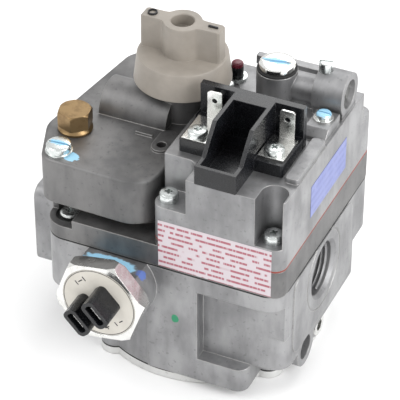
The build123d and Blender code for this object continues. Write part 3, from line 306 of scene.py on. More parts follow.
@dataclass(frozen=True)
class CastMetal:
    """Bare die-cast alloy: satin, faintly mottled, with a painted highlight on its rounded edges."""

    name: str
    light: Colour
    dark: Colour
    roughness: float = 0.42
    edge_radius: float = 0.0006
    edge_gain: float = 0.30
    grain: float = 0.16
    metal: float = 0.85
    dabs: tuple[PaintDab, ...] = ()
    cloud_scale: float = 38.0
    flow_scale: float = 140.0
    flow_stretch: Point = (1.0, 1.0, 0.35)
    grain_scale: float = 1500.0
    grain_depth: float = 0.00025
    speck_scale: float = 620.0
    speck_cover: float = 0.30
    # Pale colour of the painted highlight laid on the rounded edges.
    edge_highlight: Colour = (0.72, 0.70, 0.66)

    def make(self) -> bpy.types.Material:
        """Build the material."""
        web = NodeWeb(self.name)
        place = web.place()
        cloud = web.noise(place, self.cloud_scale, 3.0, 0.55)
        flow = web.noise(web.stretched(place, self.flow_stretch), self.flow_scale, 3.0, 0.6)
        fine = web.noise(place, self.grain_scale, 2.0, 0.6)
        speck = web.noise(place, self.speck_scale, 1.0, 0.5).ramp(0.66, 0.74)
        tone = (cloud * 0.55 + flow * 0.45).ramp(0.34, 0.66)
        colour = web.blend(tone, self.dark, self.light)
        colour = web.blend(speck * self.speck_cover, colour, tuple(0.55 * part for part in self.dark))
        rounded = web.rounded_normal(self.edge_radius)
        edge = web.edge_mask(rounded)
        # Painted highlight: rounded edges, convex and concave alike, are lightened towards a pale colour.
        colour = web.blend(edge * self.edge_gain, colour, self.edge_highlight)
        rough = self.roughness + (flow - 0.5) * 0.16 + (fine - 0.5) * 0.12 - edge * 0.08
        metal: Signal | float = self.metal
        for dab in self.dabs:
            colour, metal = dab.lay(web, place, colour, metal, grain=420.0, octaves=3.0, fade=(0.86, 1.02))
        normal = web.bump(fine * 0.6 + flow * 0.4, self.grain, self.grain_depth, rounded)
        web.set(Base_Color=colour, Roughness=rough, Metallic=metal, Normal=normal)
        return web.material


@dataclass(frozen=True)
class TurnedMetal:
    """Plated or bright metal with fine tool marks and faint stains."""

    name: str
    colour: Colour
    stain: Colour
    roughness: float = 0.22
    edge_radius: float = 0.0002
    stain_amount: float = 0.35
    dabs: tuple[PaintDab, ...] = ()
    stain_scale: float = 260.0
    tool_mark_scale: float = 2600.0
    tool_mark_depth: float = 0.0001

    def make(self) -> bpy.types.Material:
        """Build the material."""
        web = NodeWeb(self.name)
        place = web.place()
        patch = web.noise(place, self.stain_scale, 3.0, 0.6).ramp(0.42, 0.72)
        fine = web.noise(place, self.tool_mark_scale, 2.0, 0.5)
        colour = web.blend(patch * self.stain_amount, self.colour, self.stain)
        rough = self.roughness + patch * 0.12 + (fine - 0.5) * 0.10
        metal: Signal | float = 1.0
        for dab in self.dabs:
            colour, metal = dab.lay(web, place, colour, metal, grain=700.0, octaves=2.0, fade=(0.80, 1.05))
        normal = web.bump(fine, 0.08, self.tool_mark_depth, web.rounded_normal(self.edge_radius))
        web.set(Base_Color=colour, Roughness=rough, Metallic=metal, Normal=normal)
        return web.material


@dataclass(frozen=True)
class Moulding:
    """Moulded plastic or rubber: even colour, slight mottling, a fine skin and, where an edge colour is given, a
    painted highlight on the edges.
    """

    name: str
    colour: Colour
    shade: Colour
    roughness: float = 0.45
    edge_radius: float = 0.0003
    # Colour of the painted edge highlight, also taken by the dust; None leaves both out.
    edge_highlight_and_dust: Colour | None = None
    skin: float = 0.10
    cloud_scale: float = 90.0
    skin_scale: float = 1800.0
    skin_depth: float = 0.00015
    dust_scale: float = 520.0

    def make(self) -> bpy.types.Material:
        """Build the material."""
        web = NodeWeb(self.name)
        place = web.place()
        cloud = web.noise(place, self.cloud_scale, 3.0, 0.6).ramp(0.3, 0.7)
        fine = web.noise(place, self.skin_scale, 2.0, 0.6)
        dust = web.noise(place, self.dust_scale, 2.0, 0.7).ramp(0.60, 0.78)
        colour = web.blend(cloud, self.shade, self.colour)
        rounded = web.rounded_normal(self.edge_radius)
        if self.edge_highlight_and_dust is not None:
            # Painted highlight on the rounded edges, plus a little real dust, both towards the edge colour.
            colour = web.blend(web.edge_mask(rounded) * 0.5 + dust * 0.12, colour, self.edge_highlight_and_dust)
        rough = self.roughness + (fine - 0.5) * 0.14 + dust * 0.10
        normal = web.bump(fine, self.skin, self.skin_depth, rounded)
        web.set(Base_Color=colour, Roughness=rough, Normal=normal)
        return web.material


@dataclass(frozen=True)
class PrintedLabel:
    """A thin label with rows of broken lines where a real one carries print."""

    name: str
    ground: Colour
    ink: Colour
    across: int
    origin: Point
    row_pitch: float
    line_share: float = 0.42
    ink_strength: float = 0.75
    word_scale: float = 330.0
    letter_scale: float = 1500.0

    def make(self) -> bpy.types.Material:
        """Build the material."""
        web = NodeWeb(self.name)
        place = web.place()
        parts = web.split(place)
        along = parts[self.across]
        down = self.origin[2] - parts[2]
        row = web.maths("FLOOR", down / self.row_pitch, 0.0)
        within = down.wrapped(self.row_pitch) / self.row_pitch
        foot, top = (0.18, 0.26), (0.18 + self.line_share, 0.26 + self.line_share)
        line = within.ramp(*foot) * (1.0 - within.ramp(*top))
        joined = web.node("ShaderNodeCombineXYZ", None, {"X": along, "Y": row * 0.37, "Z": row * 1.91})
        spot = Signal(web, joined.outputs["Vector"])
        words = web.noise(spot, self.word_scale, 0.0).ramp(0.36, 0.42)
        letters = web.noise(spot, self.letter_scale, 0.0).ramp(0.34, 0.46)
        print_mask = line * words * (letters * 0.6 + 0.4) * self.ink_strength
        haze = web.noise(place, 120.0, 2.0).ramp(0.3, 0.8)
        colour = web.blend(haze * 0.12, self.ground, tuple(0.8 * part for part in self.ground))
        colour = web.blend(print_mask, colour, self.ink)
        rough = 0.38 + haze * 0.15
        crease = web.noise(place, 240.0, 2.0)
        web.set(Base_Color=colour, Roughness=rough, Normal=web.bump(crease, 0.10, 0.0002), Coat_Weight=0.15)
        return web.material


class Stock(enum.Enum):
    """Finishes used on the valve's pieces."""

    BODY = "cast_body"
    COVER = "cast_cover"
    PLATE = "plate_grey"
    STEEL = "steel"
    BRIGHT = "bright_nickel"
    BRASS = "brass"
    BLACK = "black_plastic"
    BEIGE = "beige_plastic"
    RED = "red_plastic"
    CREAM = "cream_plastic"
    GASKET = "gasket_black"
    RED_GASKET = "gasket_red"
    LABEL_WHITE = "label_white"
    LABEL_BLUE = "label_blue"
    RUBBER = "rubber"


PALE_BLUE: Colour = (0.30, 0.56, 0.74)
DEEP_BLUE: Colour = (0.10, 0.16, 0.42)
DOT_GREEN: Colour = (0.02, 0.25, 0.12)


class Paintshop:
    """Makes each finish once and gives it to pieces."""

    def __init__(self) -> None:
        """Set the finishes up, with paint dabs placed from the frame."""
        nut_low, nut_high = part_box("power_nut")
        nut_x = (nut_low.x + nut_high.x) / 2
        gasket_low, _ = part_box("body_gasket")
        washer_low, washer_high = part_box("seal_screw_washer")
        boss_y = (nut_high.y + gasket_low.y) / 2
        body_dabs = (
            PaintDab((nut_x - 0.001, boss_y, gasket_low.z), (0.0125, 0.0045, 0.002), PALE_BLUE, 0.30),
            PaintDab(
                (nut_x + 0.0125, boss_y - 0.0005, gasket_low.z - 0.002), (0.0026, 0.0030, 0.0026), DEEP_BLUE, 0.5
            ),
            PaintDab((0.0065, gasket_low.y, 0.0335), (0.0017, 0.002, 0.0021), DOT_GREEN, 0.25),
        )
        cover_dabs = (
            PaintDab(
                (washer_high.x + 0.0005, washer_low.y + 0.004, washer_low.z), (0.0036, 0.0030, 0.0012),
                PALE_BLUE, 0.5,
            ),
        )
        screw_dabs = (
            PaintDab(tuple(self._crown("seal_screw")), (0.0050, 0.0016, 0.0022), PALE_BLUE, 0.4),
            PaintDab(tuple(self._crown("pilot_adjuster")), (0.0034, 0.0034, 0.0030), PALE_BLUE, 0.3),
        )
        cap_dabs = (PaintDab(tuple(self._crown("regulator_cap")), (0.0060, 0.0021, 0.0016), PALE_BLUE, 0.45),)
        self.finishes = {
            Stock.BODY: CastMetal("cast_body", (0.39, 0.39, 0.395), (0.23, 0.23, 0.235), 0.50, dabs=body_dabs),
            Stock.COVER: CastMetal("cast_cover", (0.225, 0.222, 0.22), (0.13, 0.129, 0.13), 0.52, dabs=cover_dabs),
            Stock.PLATE: CastMetal("plate_grey", (0.66, 0.66, 0.65), (0.58, 0.58, 0.57), 0.5, metal=0.3),
            Stock.STEEL: TurnedMetal("zinc_steel", (0.72, 0.75, 0.74), (0.36, 0.40, 0.39), dabs=screw_dabs),
            Stock.BRIGHT: TurnedMetal("bright_nickel", (0.82, 0.82, 0.80), (0.52, 0.51, 0.48), 0.16, dabs=cap_dabs),
            Stock.BRASS: TurnedMetal(
                "turned_brass", (0.31, 0.21, 0.105), (0.16, 0.10, 0.05), 0.30, stain_amount=0.6
            ),
            # The black and beige mouldings carry a painted highlight on their edges.
            Stock.BLACK: Moulding(
                "black_moulding", (0.008, 0.009, 0.011), (0.004, 0.004, 0.005), 0.26, edge_highlight_and_dust=(0.07, 0.07, 0.08)
            ),
            Stock.BEIGE: Moulding(
                "knob_moulding", (0.30, 0.27, 0.235), (0.255, 0.23, 0.20), 0.46, edge_highlight_and_dust=(0.40, 0.37, 0.32)
            ),
            Stock.RED: Moulding("red_cap", (0.16, 0.012, 0.03), (0.10, 0.008, 0.02), 0.28),
            Stock.CREAM: Moulding("cream_disc", (0.66, 0.63, 0.57), (0.60, 0.57, 0.51), 0.40),
            Stock.GASKET: Moulding("black_gasket", (0.012, 0.012, 0.013), (0.02, 0.02, 0.02), 0.75),
            Stock.RED_GASKET: Moulding("red_gasket", (0.30, 0.055, 0.04), (0.20, 0.04, 0.03), 0.7),
            Stock.RUBBER: Moulding("rubber", (0.03, 0.03, 0.03), (0.02, 0.02, 0.02), 0.7),
        }
        label_low, label_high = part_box("front_label")
        side_low, side_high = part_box("side_label")
        self.finishes[Stock.LABEL_WHITE] = PrintedLabel(
            "caution_label", (0.58, 0.52, 0.55), (0.34, 0.08, 0.11), 0,
            (label_low.x, 0.0, label_high.z - 0.0008), 0.0026,
            ink_strength=0.95
        )
        self.finishes[Stock.LABEL_BLUE] = PrintedLabel(
            "rating_label", (0.16, 0.19, 0.42), (0.08, 0.09, 0.27), 1,
            (0.0, side_low.y, side_high.z - 0.002), 0.0034,
            ink_strength=0.35,
        )
        self.made: dict[Stock, bpy.types.Material] = {}

    @staticmethod
    def _crown(node: str) -> Vector:
        """Middle of the top of a node's box."""
        low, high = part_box(node)
        return Vector(((low.x + high.x) / 2, (low.y + high.y) / 2, high.z))

    def material(self, stock: Stock) -> bpy.types.Material:
        """The material of a finish, made on first use."""
        if stock not in self.made:
            self.made[stock] = self.finishes[stock].make()
        return self.made[stock]

    def dress(self, piece: bpy.types.Object, stock: Stock) -> None:
        """Give a piece one finish all over."""
        piece.data.materials.clear()
        piece.data.materials.append(self.material(stock))


NODE_STOCK: dict[str, Stock] = {
    "body_gasket": Stock.GASKET,
    "bottom_plate": Stock.PLATE,
    "bottom_screws": Stock.STEEL,
    "cock_plug": Stock.BRASS,
    "cock_retainer": Stock.STEEL,
    "cock_spring": Stock.STEEL,
    "cover_screws": Stock.STEEL,
    "front_label": Stock.LABEL_WHITE,
    "inlet_screen": Stock.STEEL,
    "knob": Stock.BEIGE,
    "knob_marks": Stock.BLACK,
    "knob_spindle": Stock.STEEL,
    "knob_spring": Stock.STEEL,
    "magnet_coil": Stock.CREAM,
    "magnet_core": Stock.STEEL,
    "main_body": Stock.BODY,
    "main_diaphragm": Stock.RUBBER,
    "main_valve": Stock.STEEL,
    "main_valve_seal": Stock.RUBBER,
    "main_valve_spring": Stock.STEEL,
    "operator_gasket": Stock.RED_GASKET,
    "operator_housing": Stock.BODY,
    "operator_screws": Stock.STEEL,
    "pilot_adjuster": Stock.STEEL,
    "pilot_adjuster_washer": Stock.BRIGHT,
    "plunger_spring": Stock.STEEL,
    "power_barrel": Stock.BRASS,
    "power_blades": Stock.BRIGHT,
    "power_disc": Stock.CREAM,
    "power_nut": Stock.BRIGHT,
    "pressure_plug": Stock.BRIGHT,
    "regulator_adjuster": Stock.BLACK,
    "regulator_cap": Stock.BRIGHT,
    "regulator_seal": Stock.GASKET,
    "regulator_spring": Stock.STEEL,
    "reset_bush": Stock.STEEL,
    "reset_button": Stock.RED,
    "reset_rocker": Stock.STEEL,
    "reset_spring": Stock.STEEL,
    "reset_stem": Stock.BLACK,
    "rocker_brackets": Stock.STEEL,
    "safety_spring": Stock.STEEL,
    "safety_valve": Stock.STEEL,
    "safety_valve_seal": Stock.RUBBER,
    "seal_screw": Stock.STEEL,
    "seal_screw_washer": Stock.STEEL,
    "side_label": Stock.LABEL_BLUE,
    "solenoid_coil": Stock.CREAM,
    "solenoid_frame": Stock.STEEL,
    "solenoid_plunger": Stock.STEEL,
    "terminal_block": Stock.BLACK,
    "terminal_block_screw": Stock.STEEL,
    "terminal_left": Stock.BRIGHT,
    "terminal_right": Stock.BRIGHT,
    "terminal_screws": Stock.STEEL,
    "terminal_shrouds": Stock.BLACK,
    "test_plug": Stock.BRASS,
    "top_casting": Stock.COVER,
    "vent_plug": Stock.BRIGHT,
    "vent_stud": Stock.STEEL,
}


# --------------------------------------------------------------------------- studio


@dataclass
class Studio:
    """Camera, floor and soft lights."""

    camera_at: Point = (0.3111, -0.6898, 0.6321)
    azimuth: float = 24.6
    elevation: float = 37.2
    lens: float = 207.0
    floor_size: float = 6.0

    def build(self) -> None:
        """Place the camera, the floor and the lights."""
        bpy.context.scene.view_settings.view_transform = "Standard"
        self._camera()
        self._floor()
        self._lights()

    def _camera(self) -> None:
        """Set the camera up at its standing point."""
        data = bpy.data.cameras.new("studio_camera")
        data.lens = self.lens
        data.clip_start = 0.05
        data.clip_end = 20.0
        camera = bpy.data.objects.new("studio_camera", data)
        bpy.context.collection.objects.link(camera)
        camera.location = self.camera_at
        camera.rotation_euler = (math.radians(90.0 - self.elevation), 0.0, math.radians(self.azimuth))
        bpy.context.scene.camera = camera

    def _floor(self) -> None:
        """Lay a plain pale floor under the valve."""
        Bench.deselect()
        bpy.ops.mesh.primitive_plane_add(size=self.floor_size, location=(0.0, 0.0, -0.0002))
        floor = bpy.context.object
        floor.name = "floor"
        web = NodeWeb("floor_paper")
        web.set(Base_Color=(0.92, 0.92, 0.92), Roughness=0.9)
        floor.data.materials.append(web.material)

    def _lights(self) -> None:
        """Hang three soft boxes and fill the room with pale light."""
        world = bpy.data.worlds.new("studio_room")
        world.use_nodes = True
        background = world.node_tree.nodes["Background"]
        background.inputs["Color"].default_value = (1.0, 1.0, 1.0, 1.0)
        background.inputs["Strength"].default_value = 0.9
        bpy.context.scene.world = world
        for name, at, size, power in (
            ("key_box", (-0.9, -0.7, 1.3), 0.9, 8.0),
            ("fill_box", (1.3, -0.3, 0.8), 1.0, 17.0),
            ("back_box", (-0.1, 1.2, 1.2), 1.0, 8.0),
        ):
            data = bpy.data.lights.new(name, "AREA")
            data.size = size
            data.energy = power
            light = bpy.data.objects.new(name, data)
            bpy.context.collection.objects.link(light)
            light.location = at
            aim = Vector((0.0, 0.0, 0.06)) - Vector(at)
            light.rotation_euler = aim.to_track_quat("-Z", "Y").to_euler()


# --------------------------------------------------------------------------- modelling bench


class Axis(enum.Enum):
    """Direction that a turned piece points, with the turn that brings +Z there."""

    UP = (0.0, 0.0, 0.0)
    RIGHT = (0.0, math.pi / 2, 0.0)
    LEFT = (0.0, -math.pi / 2, 0.0)
    FRONT = (math.pi / 2, 0.0, 0.0)


class Bench:
    """Modelling operations shared by all sub-assemblies."""

    @staticmethod
    def deselect() -> None:
        """Leave nothing selected, in object mode."""
        if bpy.context.object and bpy.context.object.mode != "OBJECT":
            bpy.ops.object.mode_set(mode="OBJECT")
        bpy.ops.object.select_all(action="DESELECT")

    @staticmethod
    def only(piece: bpy.types.Object) -> None:
        """Select one piece and make it active."""
        Bench.deselect()
        piece.select_set(True)
        bpy.context.view_layer.objects.active = piece

    @staticmethod
    def settle(piece: bpy.types.Object) -> None:
        """Put a piece's place, turn and scale into its mesh."""
        Bench.only(piece)
        bpy.ops.object.transform_apply(location=True, rotation=True, scale=True)

    @staticmethod
    def turned(
        name: str, steps: Sequence[tuple[float, float]], at: Point, axis: Axis = Axis.UP, sides: int = 64,
        spin: float = 0.0,
    ) -> bpy.types.Object:
        """Turn a solid from a profile.

        Args:
            name: Name of the piece.
            steps: Radius and height pairs, from the lowest end to the last face.
            at: Point that height 0 stands on.
            axis: Where the piece points.
            sides: Facets round the piece.
            spin: Turn about its own axis, in radians.

        Returns:
            The new piece, with its place in its mesh.
        """
        Bench.deselect()
        bpy.ops.mesh.primitive_circle_add(
            vertices=sides, radius=steps[0][0], fill_type="NGON", location=(0.0, 0.0, 0.0)
        )
        piece = bpy.context.object
        piece.name = name
        for vertex in piece.data.vertices:
            vertex.co.z = steps[0][1]
        bpy.ops.object.mode_set(mode="EDIT")
        bpy.ops.mesh.select_mode(type="FACE")
        bpy.ops.mesh.select_all(action="SELECT")
        for (radius, height), (next_radius, next_height) in zip(steps, steps[1:]):
            bpy.ops.mesh.extrude_region_move(
                TRANSFORM_OT_translate={"value": (0.0, 0.0, next_height - height)}
            )
            ratio = next_radius / radius
            bpy.ops.transform.resize(value=(ratio, ratio, 1.0), center_override=(0.0, 0.0, next_height))
        bpy.ops.mesh.select_all(action="SELECT")
        bpy.ops.mesh.normals_make_consistent(inside=False)
        bpy.ops.object.mode_set(mode="OBJECT")
        piece.rotation_euler = (0.0, 0.0, spin)
        Bench.settle(piece)
        piece.rotation_euler = axis.value
        piece.location = at
        Bench.settle(piece)
        return piece

    @staticmethod
    def block(name: str, low: Sequence[float], high: Sequence[float]) -> bpy.types.Object:
        """A box between two corners, to be shaped further."""
        Bench.deselect()
        centre = [(a + b) / 2 for a, b in zip(low, high)]
        bpy.ops.mesh.primitive_cube_add(size=1.0, location=centre)
        piece = bpy.context.object
        piece.name = name
        piece.scale = [b - a for a, b in zip(low, high)]
        Bench.settle(piece)
        return piece

    @staticmethod
    def apply(piece: bpy.types.Object, kind: str, settings: Mapping[str, object]) -> None:
        """Add a modifier with settings and apply it."""
        modifier = piece.modifiers.new(kind.lower(), kind)
        for key, value in settings.items():
            setattr(modifier, key, value)
        Bench.only(piece)
        bpy.ops.object.modifier_apply(modifier=modifier.name)

    @staticmethod
    def round_edges(piece: bpy.types.Object, width: float, segments: int = 3, angle: float = 35.0) -> None:
        """Round the edges that are sharper than an angle."""
        Bench.apply(
            piece, "BEVEL",
            {"width": width, "segments": segments, "limit_method": "ANGLE", "angle_limit": math.radians(angle)},
        )

    @staticmethod
    def combine(piece: bpy.types.Object, tool: bpy.types.Object, operation: str = "DIFFERENCE") -> None:
        """Cut a piece with a tool, join them or keep what they share; the tool is used up."""
        Bench.apply(piece, "BOOLEAN", {"operation": operation, "object": tool, "solver": "EXACT"})
        bpy.data.objects.remove(tool, do_unlink=True)

    @staticmethod
    def join(pieces: Sequence[bpy.types.Object]) -> bpy.types.Object:
        """Join pieces into the first one."""
        Bench.deselect()
        for piece in pieces:
            piece.select_set(True)
        bpy.context.view_layer.objects.active = pieces[0]
        if len(pieces) > 1:
            bpy.ops.object.join()
        return pieces[0]

    @staticmethod
    def smooth(piece: bpy.types.Object, angle: float = 35.0) -> None:
        """Shade smooth up to an angle."""
        Bench.only(piece)
        bpy.ops.object.shade_smooth_by_angle(angle=math.radians(angle))

    @staticmethod
    def turn(piece: bpy.types.Object, degrees: float, axis: str, about: Point) -> None:
        """Turn a finished piece about a point and keep its place in its mesh."""
        angle = math.radians(degrees)
        pivot = Vector(about)
        for vertex in piece.data.vertices:
            arm = vertex.co - pivot
            arm.rotate(Euler([angle if axis == part else 0.0 for part in "XYZ"]))
            vertex.co = pivot + arm


def loose_boxes(node: str) -> list[tuple[Vector, Vector]]:
    """Boxes of the separate solids in one node.

    Args:
        node: Name of the node.

    Returns:
        Lowest and highest corner of each solid, from left to right.
    """
    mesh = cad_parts[node].data
    points = np.array([vertex.co[:] for vertex in mesh.vertices])
    _, same = np.unique(np.round(points, 6), axis=0, return_inverse=True)
    same = same.reshape(-1)
    owner = list(range(int(same.max()) + 1))

    def root(index: int) -> int:
        """Head of a merged group."""
        while owner[index] != index:
            owner[index] = owner[owner[index]]
            index = owner[index]
        return index

    for face in mesh.polygons:
        first, *rest = [int(same[v]) for v in face.vertices]
        for other in rest:
            owner[root(other)] = root(first)
    groups: dict[int, list[int]] = {}
    for number, merged in enumerate(same):
        groups.setdefault(root(int(merged)), []).append(number)
    boxes = [(Vector(points[rows].min(0)), Vector(points[rows].max(0))) for rows in groups.values()]
    return sorted(boxes, key=lambda pair: (round(pair[0].x, 3), round(pair[0].y, 3)))


def hand_over(
    piece: bpy.types.Object, shop: Paintshop, stock: Stock, node: str, body: str = ROOT_BODY,
    angle: float = 30.0,
) -> None:
    """Shade and finish a piece, and let it ride a body in a node's place.

    Args:
        piece: The finished piece.
        shop: Where its finish is made.
        stock: Its finish.
        node: The node that it stands for.
        body: The body that it rides on.
        angle: Edges flatter than this are shaded smooth, in degrees.
    """
    Bench.smooth(piece, angle)
    shop.dress(piece, stock)
    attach(piece, body)
    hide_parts(node)


# --------------------------------------------------------------------------- screws and plugs


class Recess(enum.Enum):
    """Driver recess of a screw head."""

    CROSS = "cross"
    SLOT = "slot"


@dataclass
class MachineScrews:
    """Cheese-head or pan-head machine screws standing where a node has them."""

    node: str
    body: str = ROOT_BODY
    slot: str = "steel"
    stock: Stock = Stock.STEEL
    head_radius: float = 0.004
    head_height: float = 0.0039
    shank_radius: float = 0.0024
    dome: float = 0.35
    recess: Recess = Recess.CROSS
    recess_width: float = 0.0010
    recess_turns: tuple[float, ...] = (20.0, 65.0, 40.0, 10.0)
    pieces: list[bpy.types.Object] = field(default_factory=list)

    def _screw(self, name: str, low: Vector, high: Vector, turn: float) -> bpy.types.Object:
        """One screw between two heights."""
        top = high.z
        seat = top - self.head_height
        radius, height = self.head_radius, self.head_height
        steps = [
            (self.shank_radius, low.z - seat),
            (self.shank_radius, 0.0),
            (radius, 0.0),
            (radius, height * (0.95 - self.dome)),
            (radius * 0.965, height * (0.95 - self.dome * 0.55)),
            (radius * 0.88, height * (0.97 - self.dome * 0.22)),
            (radius * 0.70, height * (1.0 - self.dome * 0.06)),
            (radius * 0.30, height),
        ]
        centre = (low + high) / 2
        at = (centre.x, centre.y, seat)
        screw = Bench.turned(name, steps, at, sides=40)
        half = self.recess_width / 2
        reach = radius * (0.62 if self.recess is Recess.CROSS else 2.0)
        depth = height * 0.55
        turns = (turn, turn + 90.0) if self.recess is Recess.CROSS else (turn,)
        for number, angle in enumerate(turns):
            cutter = Bench.block(
                "recess_tool",
                (centre.x - reach, centre.y - half, top - depth),
                (centre.x + reach, centre.y + half, top + height),
            )
            self._taper(cutter, Vector((centre.x, centre.y, top - depth)))
            Bench.turn(cutter, angle, "Z", (centre.x, centre.y, top))
            Bench.combine(screw, cutter)
        return screw

    def _taper(self, cutter: bpy.types.Object, foot: Vector) -> None:
        """Draw the lower end of a recess tool in, as a driver's tip is."""
        for vertex in cutter.data.vertices:
            if self.recess is Recess.CROSS and vertex.co.z < foot.z + 1e-5:
                vertex.co.x = foot.x + (vertex.co.x - foot.x) * 0.45

    def build(self) -> None:
        """Model every screw of the node."""
        for number, (low, high) in enumerate(loose_boxes(self.node)):
            turn = self.recess_turns[number % len(self.recess_turns)]
            self.pieces.append(self._screw(f"{self.node}_{number + 1}", low, high, turn))

    def dress(self, shop: Paintshop) -> None:
        """Finish the screws and let them stand for the node."""
        for piece in self.pieces:
            hand_over(piece, shop, self.stock, self.node, self.body)


@dataclass
class HexPlug:
    """Brass test plug with a round collar and a chamfered hexagon head."""

    node: str = "test_plug"
    across_flats: float = 0.0127
    collar_height: float = 0.0029
    turn: float = 12.0

    def build(self) -> None:
        """Model the plug."""
        low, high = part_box(self.node)
        centre = (low + high) / 2
        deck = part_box("seal_screw_washer")[0].z
        collar = (high.x - low.x) / 2
        corner = self.across_flats / math.sqrt(3.0)
        head = high.z - deck - self.collar_height
        at = (centre.x, centre.y, deck)
        lower = Bench.turned(
            "collar",
            [(0.005, low.z - deck), (0.005, 0.0), (collar - 0.0003, 0.0), (collar, 0.0005), (collar, 0.0011),
             (collar - 0.0007, 0.0019), (collar - 0.0012, self.collar_height),
             (collar - 0.002, self.collar_height)],
            at,
        )
        flats = Bench.turned(
            "hexagon", [(corner, self.collar_height - 0.0004), (corner, self.collar_height + head)], at, sides=6,
            spin=math.radians(self.turn),
        )
        cone = Bench.turned(
            "crown",
            [(corner * 0.93, self.collar_height - 0.001), (corner * 1.02, self.collar_height + 0.0008),
             (corner * 1.02, self.collar_height + head * 0.84), (corner * 0.88, self.collar_height + head),
             (corner * 0.5, self.collar_height + head)],
            at, sides=72,
        )
        Bench.combine(flats, cone, "INTERSECT")
        Bench.combine(lower, flats, "UNION")
        lower.name = "brass_test_plug"
        self.piece = lower

    def dress(self, shop: Paintshop) -> None:
        """Finish the plug."""
        hand_over(self.piece, shop, Stock.BRASS, self.node, angle=28.0)


# --------------------------------------------------------------------------- knob


@dataclass
class CockKnob:
    """Turn knob: a tapered skirt with a waisted bar grip and a deep centre hole."""

    skirt_top: float = 0.0120
    shoulder_inset: float = 0.0016
    wall: float = 0.0022
    bar_half: float = 0.0174
    bar_width: float = 0.0066
    hub_radius: float = 0.0081
    bore_radius: float = 0.0047
    bore_depth: float = 0.0052
    outline_points: int = 160
    blend_power: float = 9.0

    def _grip_radius(self, angle: float) -> float:
        """Radius of the grip's outline at an angle: a bar softly joined to a hub."""
        along = abs(math.cos(angle)) + 1e-9
        across = abs(math.sin(angle)) + 1e-9
        bar = min(self.bar_half / along, self.bar_width / 2 / across)
        power = self.blend_power
        return (min(bar, 10.0 * self.hub_radius) ** power + self.hub_radius ** power) ** (1.0 / power)

    def build(self) -> None:
        """Model the skirt, the grip and the raised marks."""
        low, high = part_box("knob")
        marks_low, marks_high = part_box("knob_marks")
        centre = (low + high) / 2
        radius = (high.x - low.x) / 2
        foot = (centre.x, centre.y, low.z)
        shoulder = radius - self.shoulder_inset
        ceiling = 0.0015
        skirt = Bench.turned(
            "knob",
            [(0.0035, ceiling), (radius - self.wall, ceiling), (radius - self.wall, 0.0004),
             (radius - self.wall + 0.0004, 0.0), (radius - 0.0004, 0.0), (radius, 0.0004),
             (shoulder + 0.0002, self.skirt_top - 0.0008), (shoulder - 0.0002, self.skirt_top - 0.0002),
             (shoulder - 0.0009, self.skirt_top), (0.004, self.skirt_top)],
            foot, sides=96,
        )
        grip = self._grip(foot, high.z - low.z)
        Bench.combine(skirt, grip, "UNION")
        top = high.z - low.z
        bore = Bench.turned(
            "bore",
            [(self.bore_radius, top - self.bore_depth), (self.bore_radius, top - 0.0004),
             (self.bore_radius + 0.0005, top + 0.0002), (self.bore_radius + 0.0005, top + 0.002)],
            foot,
        )
        Bench.combine(skirt, bore)
        self.knob = skirt
        self.marks = self._marks(centre, marks_low, marks_high)

    def _grip(self, foot: Point, top: float) -> bpy.types.Object:
        """Model the waisted bar that is gripped."""
        Bench.deselect()
        bpy.ops.mesh.primitive_circle_add(
            vertices=self.outline_points, radius=1.0, fill_type="NGON", location=(0.0, 0.0, 0.0)
        )
        grip = bpy.context.object
        for vertex in grip.data.vertices:
            angle = math.atan2(vertex.co.y, vertex.co.x)
            reach = self._grip_radius(angle)
            vertex.co = (reach * math.cos(angle), reach * math.sin(angle), 0.0)
        bpy.ops.object.mode_set(mode="EDIT")
        bpy.ops.mesh.select_mode(type="FACE")
        bpy.ops.mesh.select_all(action="SELECT")
        start = self.skirt_top - 0.003
        bpy.ops.transform.translate(value=(0.0, 0.0, start))
        rim = 0.0007
        for rise, shrink in ((top - rim - start, 0.988), (rim * 0.6, 0.994), (rim * 0.4, 0.98)):
            bpy.ops.mesh.extrude_region_move(TRANSFORM_OT_translate={"value": (0.0, 0.0, rise)})
            bpy.ops.transform.resize(value=(shrink, shrink, 1.0), center_override=(0.0, 0.0, 0.0))
        bpy.ops.mesh.select_all(action="SELECT")
        bpy.ops.mesh.normals_make_consistent(inside=False)
        bpy.ops.object.mode_set(mode="OBJECT")
        grip.location = foot
        Bench.settle(grip)
        return grip

    def _marks(self, centre: Vector, low: Vector, high: Vector) -> bpy.types.Object:
        """Model the ring and the bar that mark the grip's two ends."""
        ring_radius = (high.y - low.y) / 2
        base = low.z - 0.0002
        rise = high.z - base
        ring = Bench.turned(
            "knob_marks",
            [(ring_radius - 0.0006, 0.0), (ring_radius, 0.0), (ring_radius - 0.0001, rise - 0.0001),
             (ring_radius - 0.0002, rise), (ring_radius - 0.0005, rise), (ring_radius - 0.0006, rise - 0.0001),
             (ring_radius - 0.0006, 0.0001)],
            (low.x + ring_radius, centre.y, base), sides=40,
        )
        bar = Bench.block(
            "bar_mark", (high.x - 2.0 * ring_radius, centre.y - 0.0004, base), (high.x, centre.y + 0.0004, high.z)
        )
        Bench.round_edges(bar, 0.00015, 2)
        return Bench.join([ring, bar])

    def dress(self, shop: Paintshop) -> None:
        """Finish the knob and its marks."""
        for piece, stock, slot, node in (
            (self.knob, Stock.BEIGE, "beige_plastic", "knob"),
            (self.marks, Stock.BLACK, "black_plastic", "knob_marks"),
        ):
            hand_over(piece, shop, stock, node, "knob", angle=32.0)
        self.knob.name = "turn_knob"
        self.marks.name = "turn_knob_marks"


# --------------------------------------------------------------------------- pipe threads


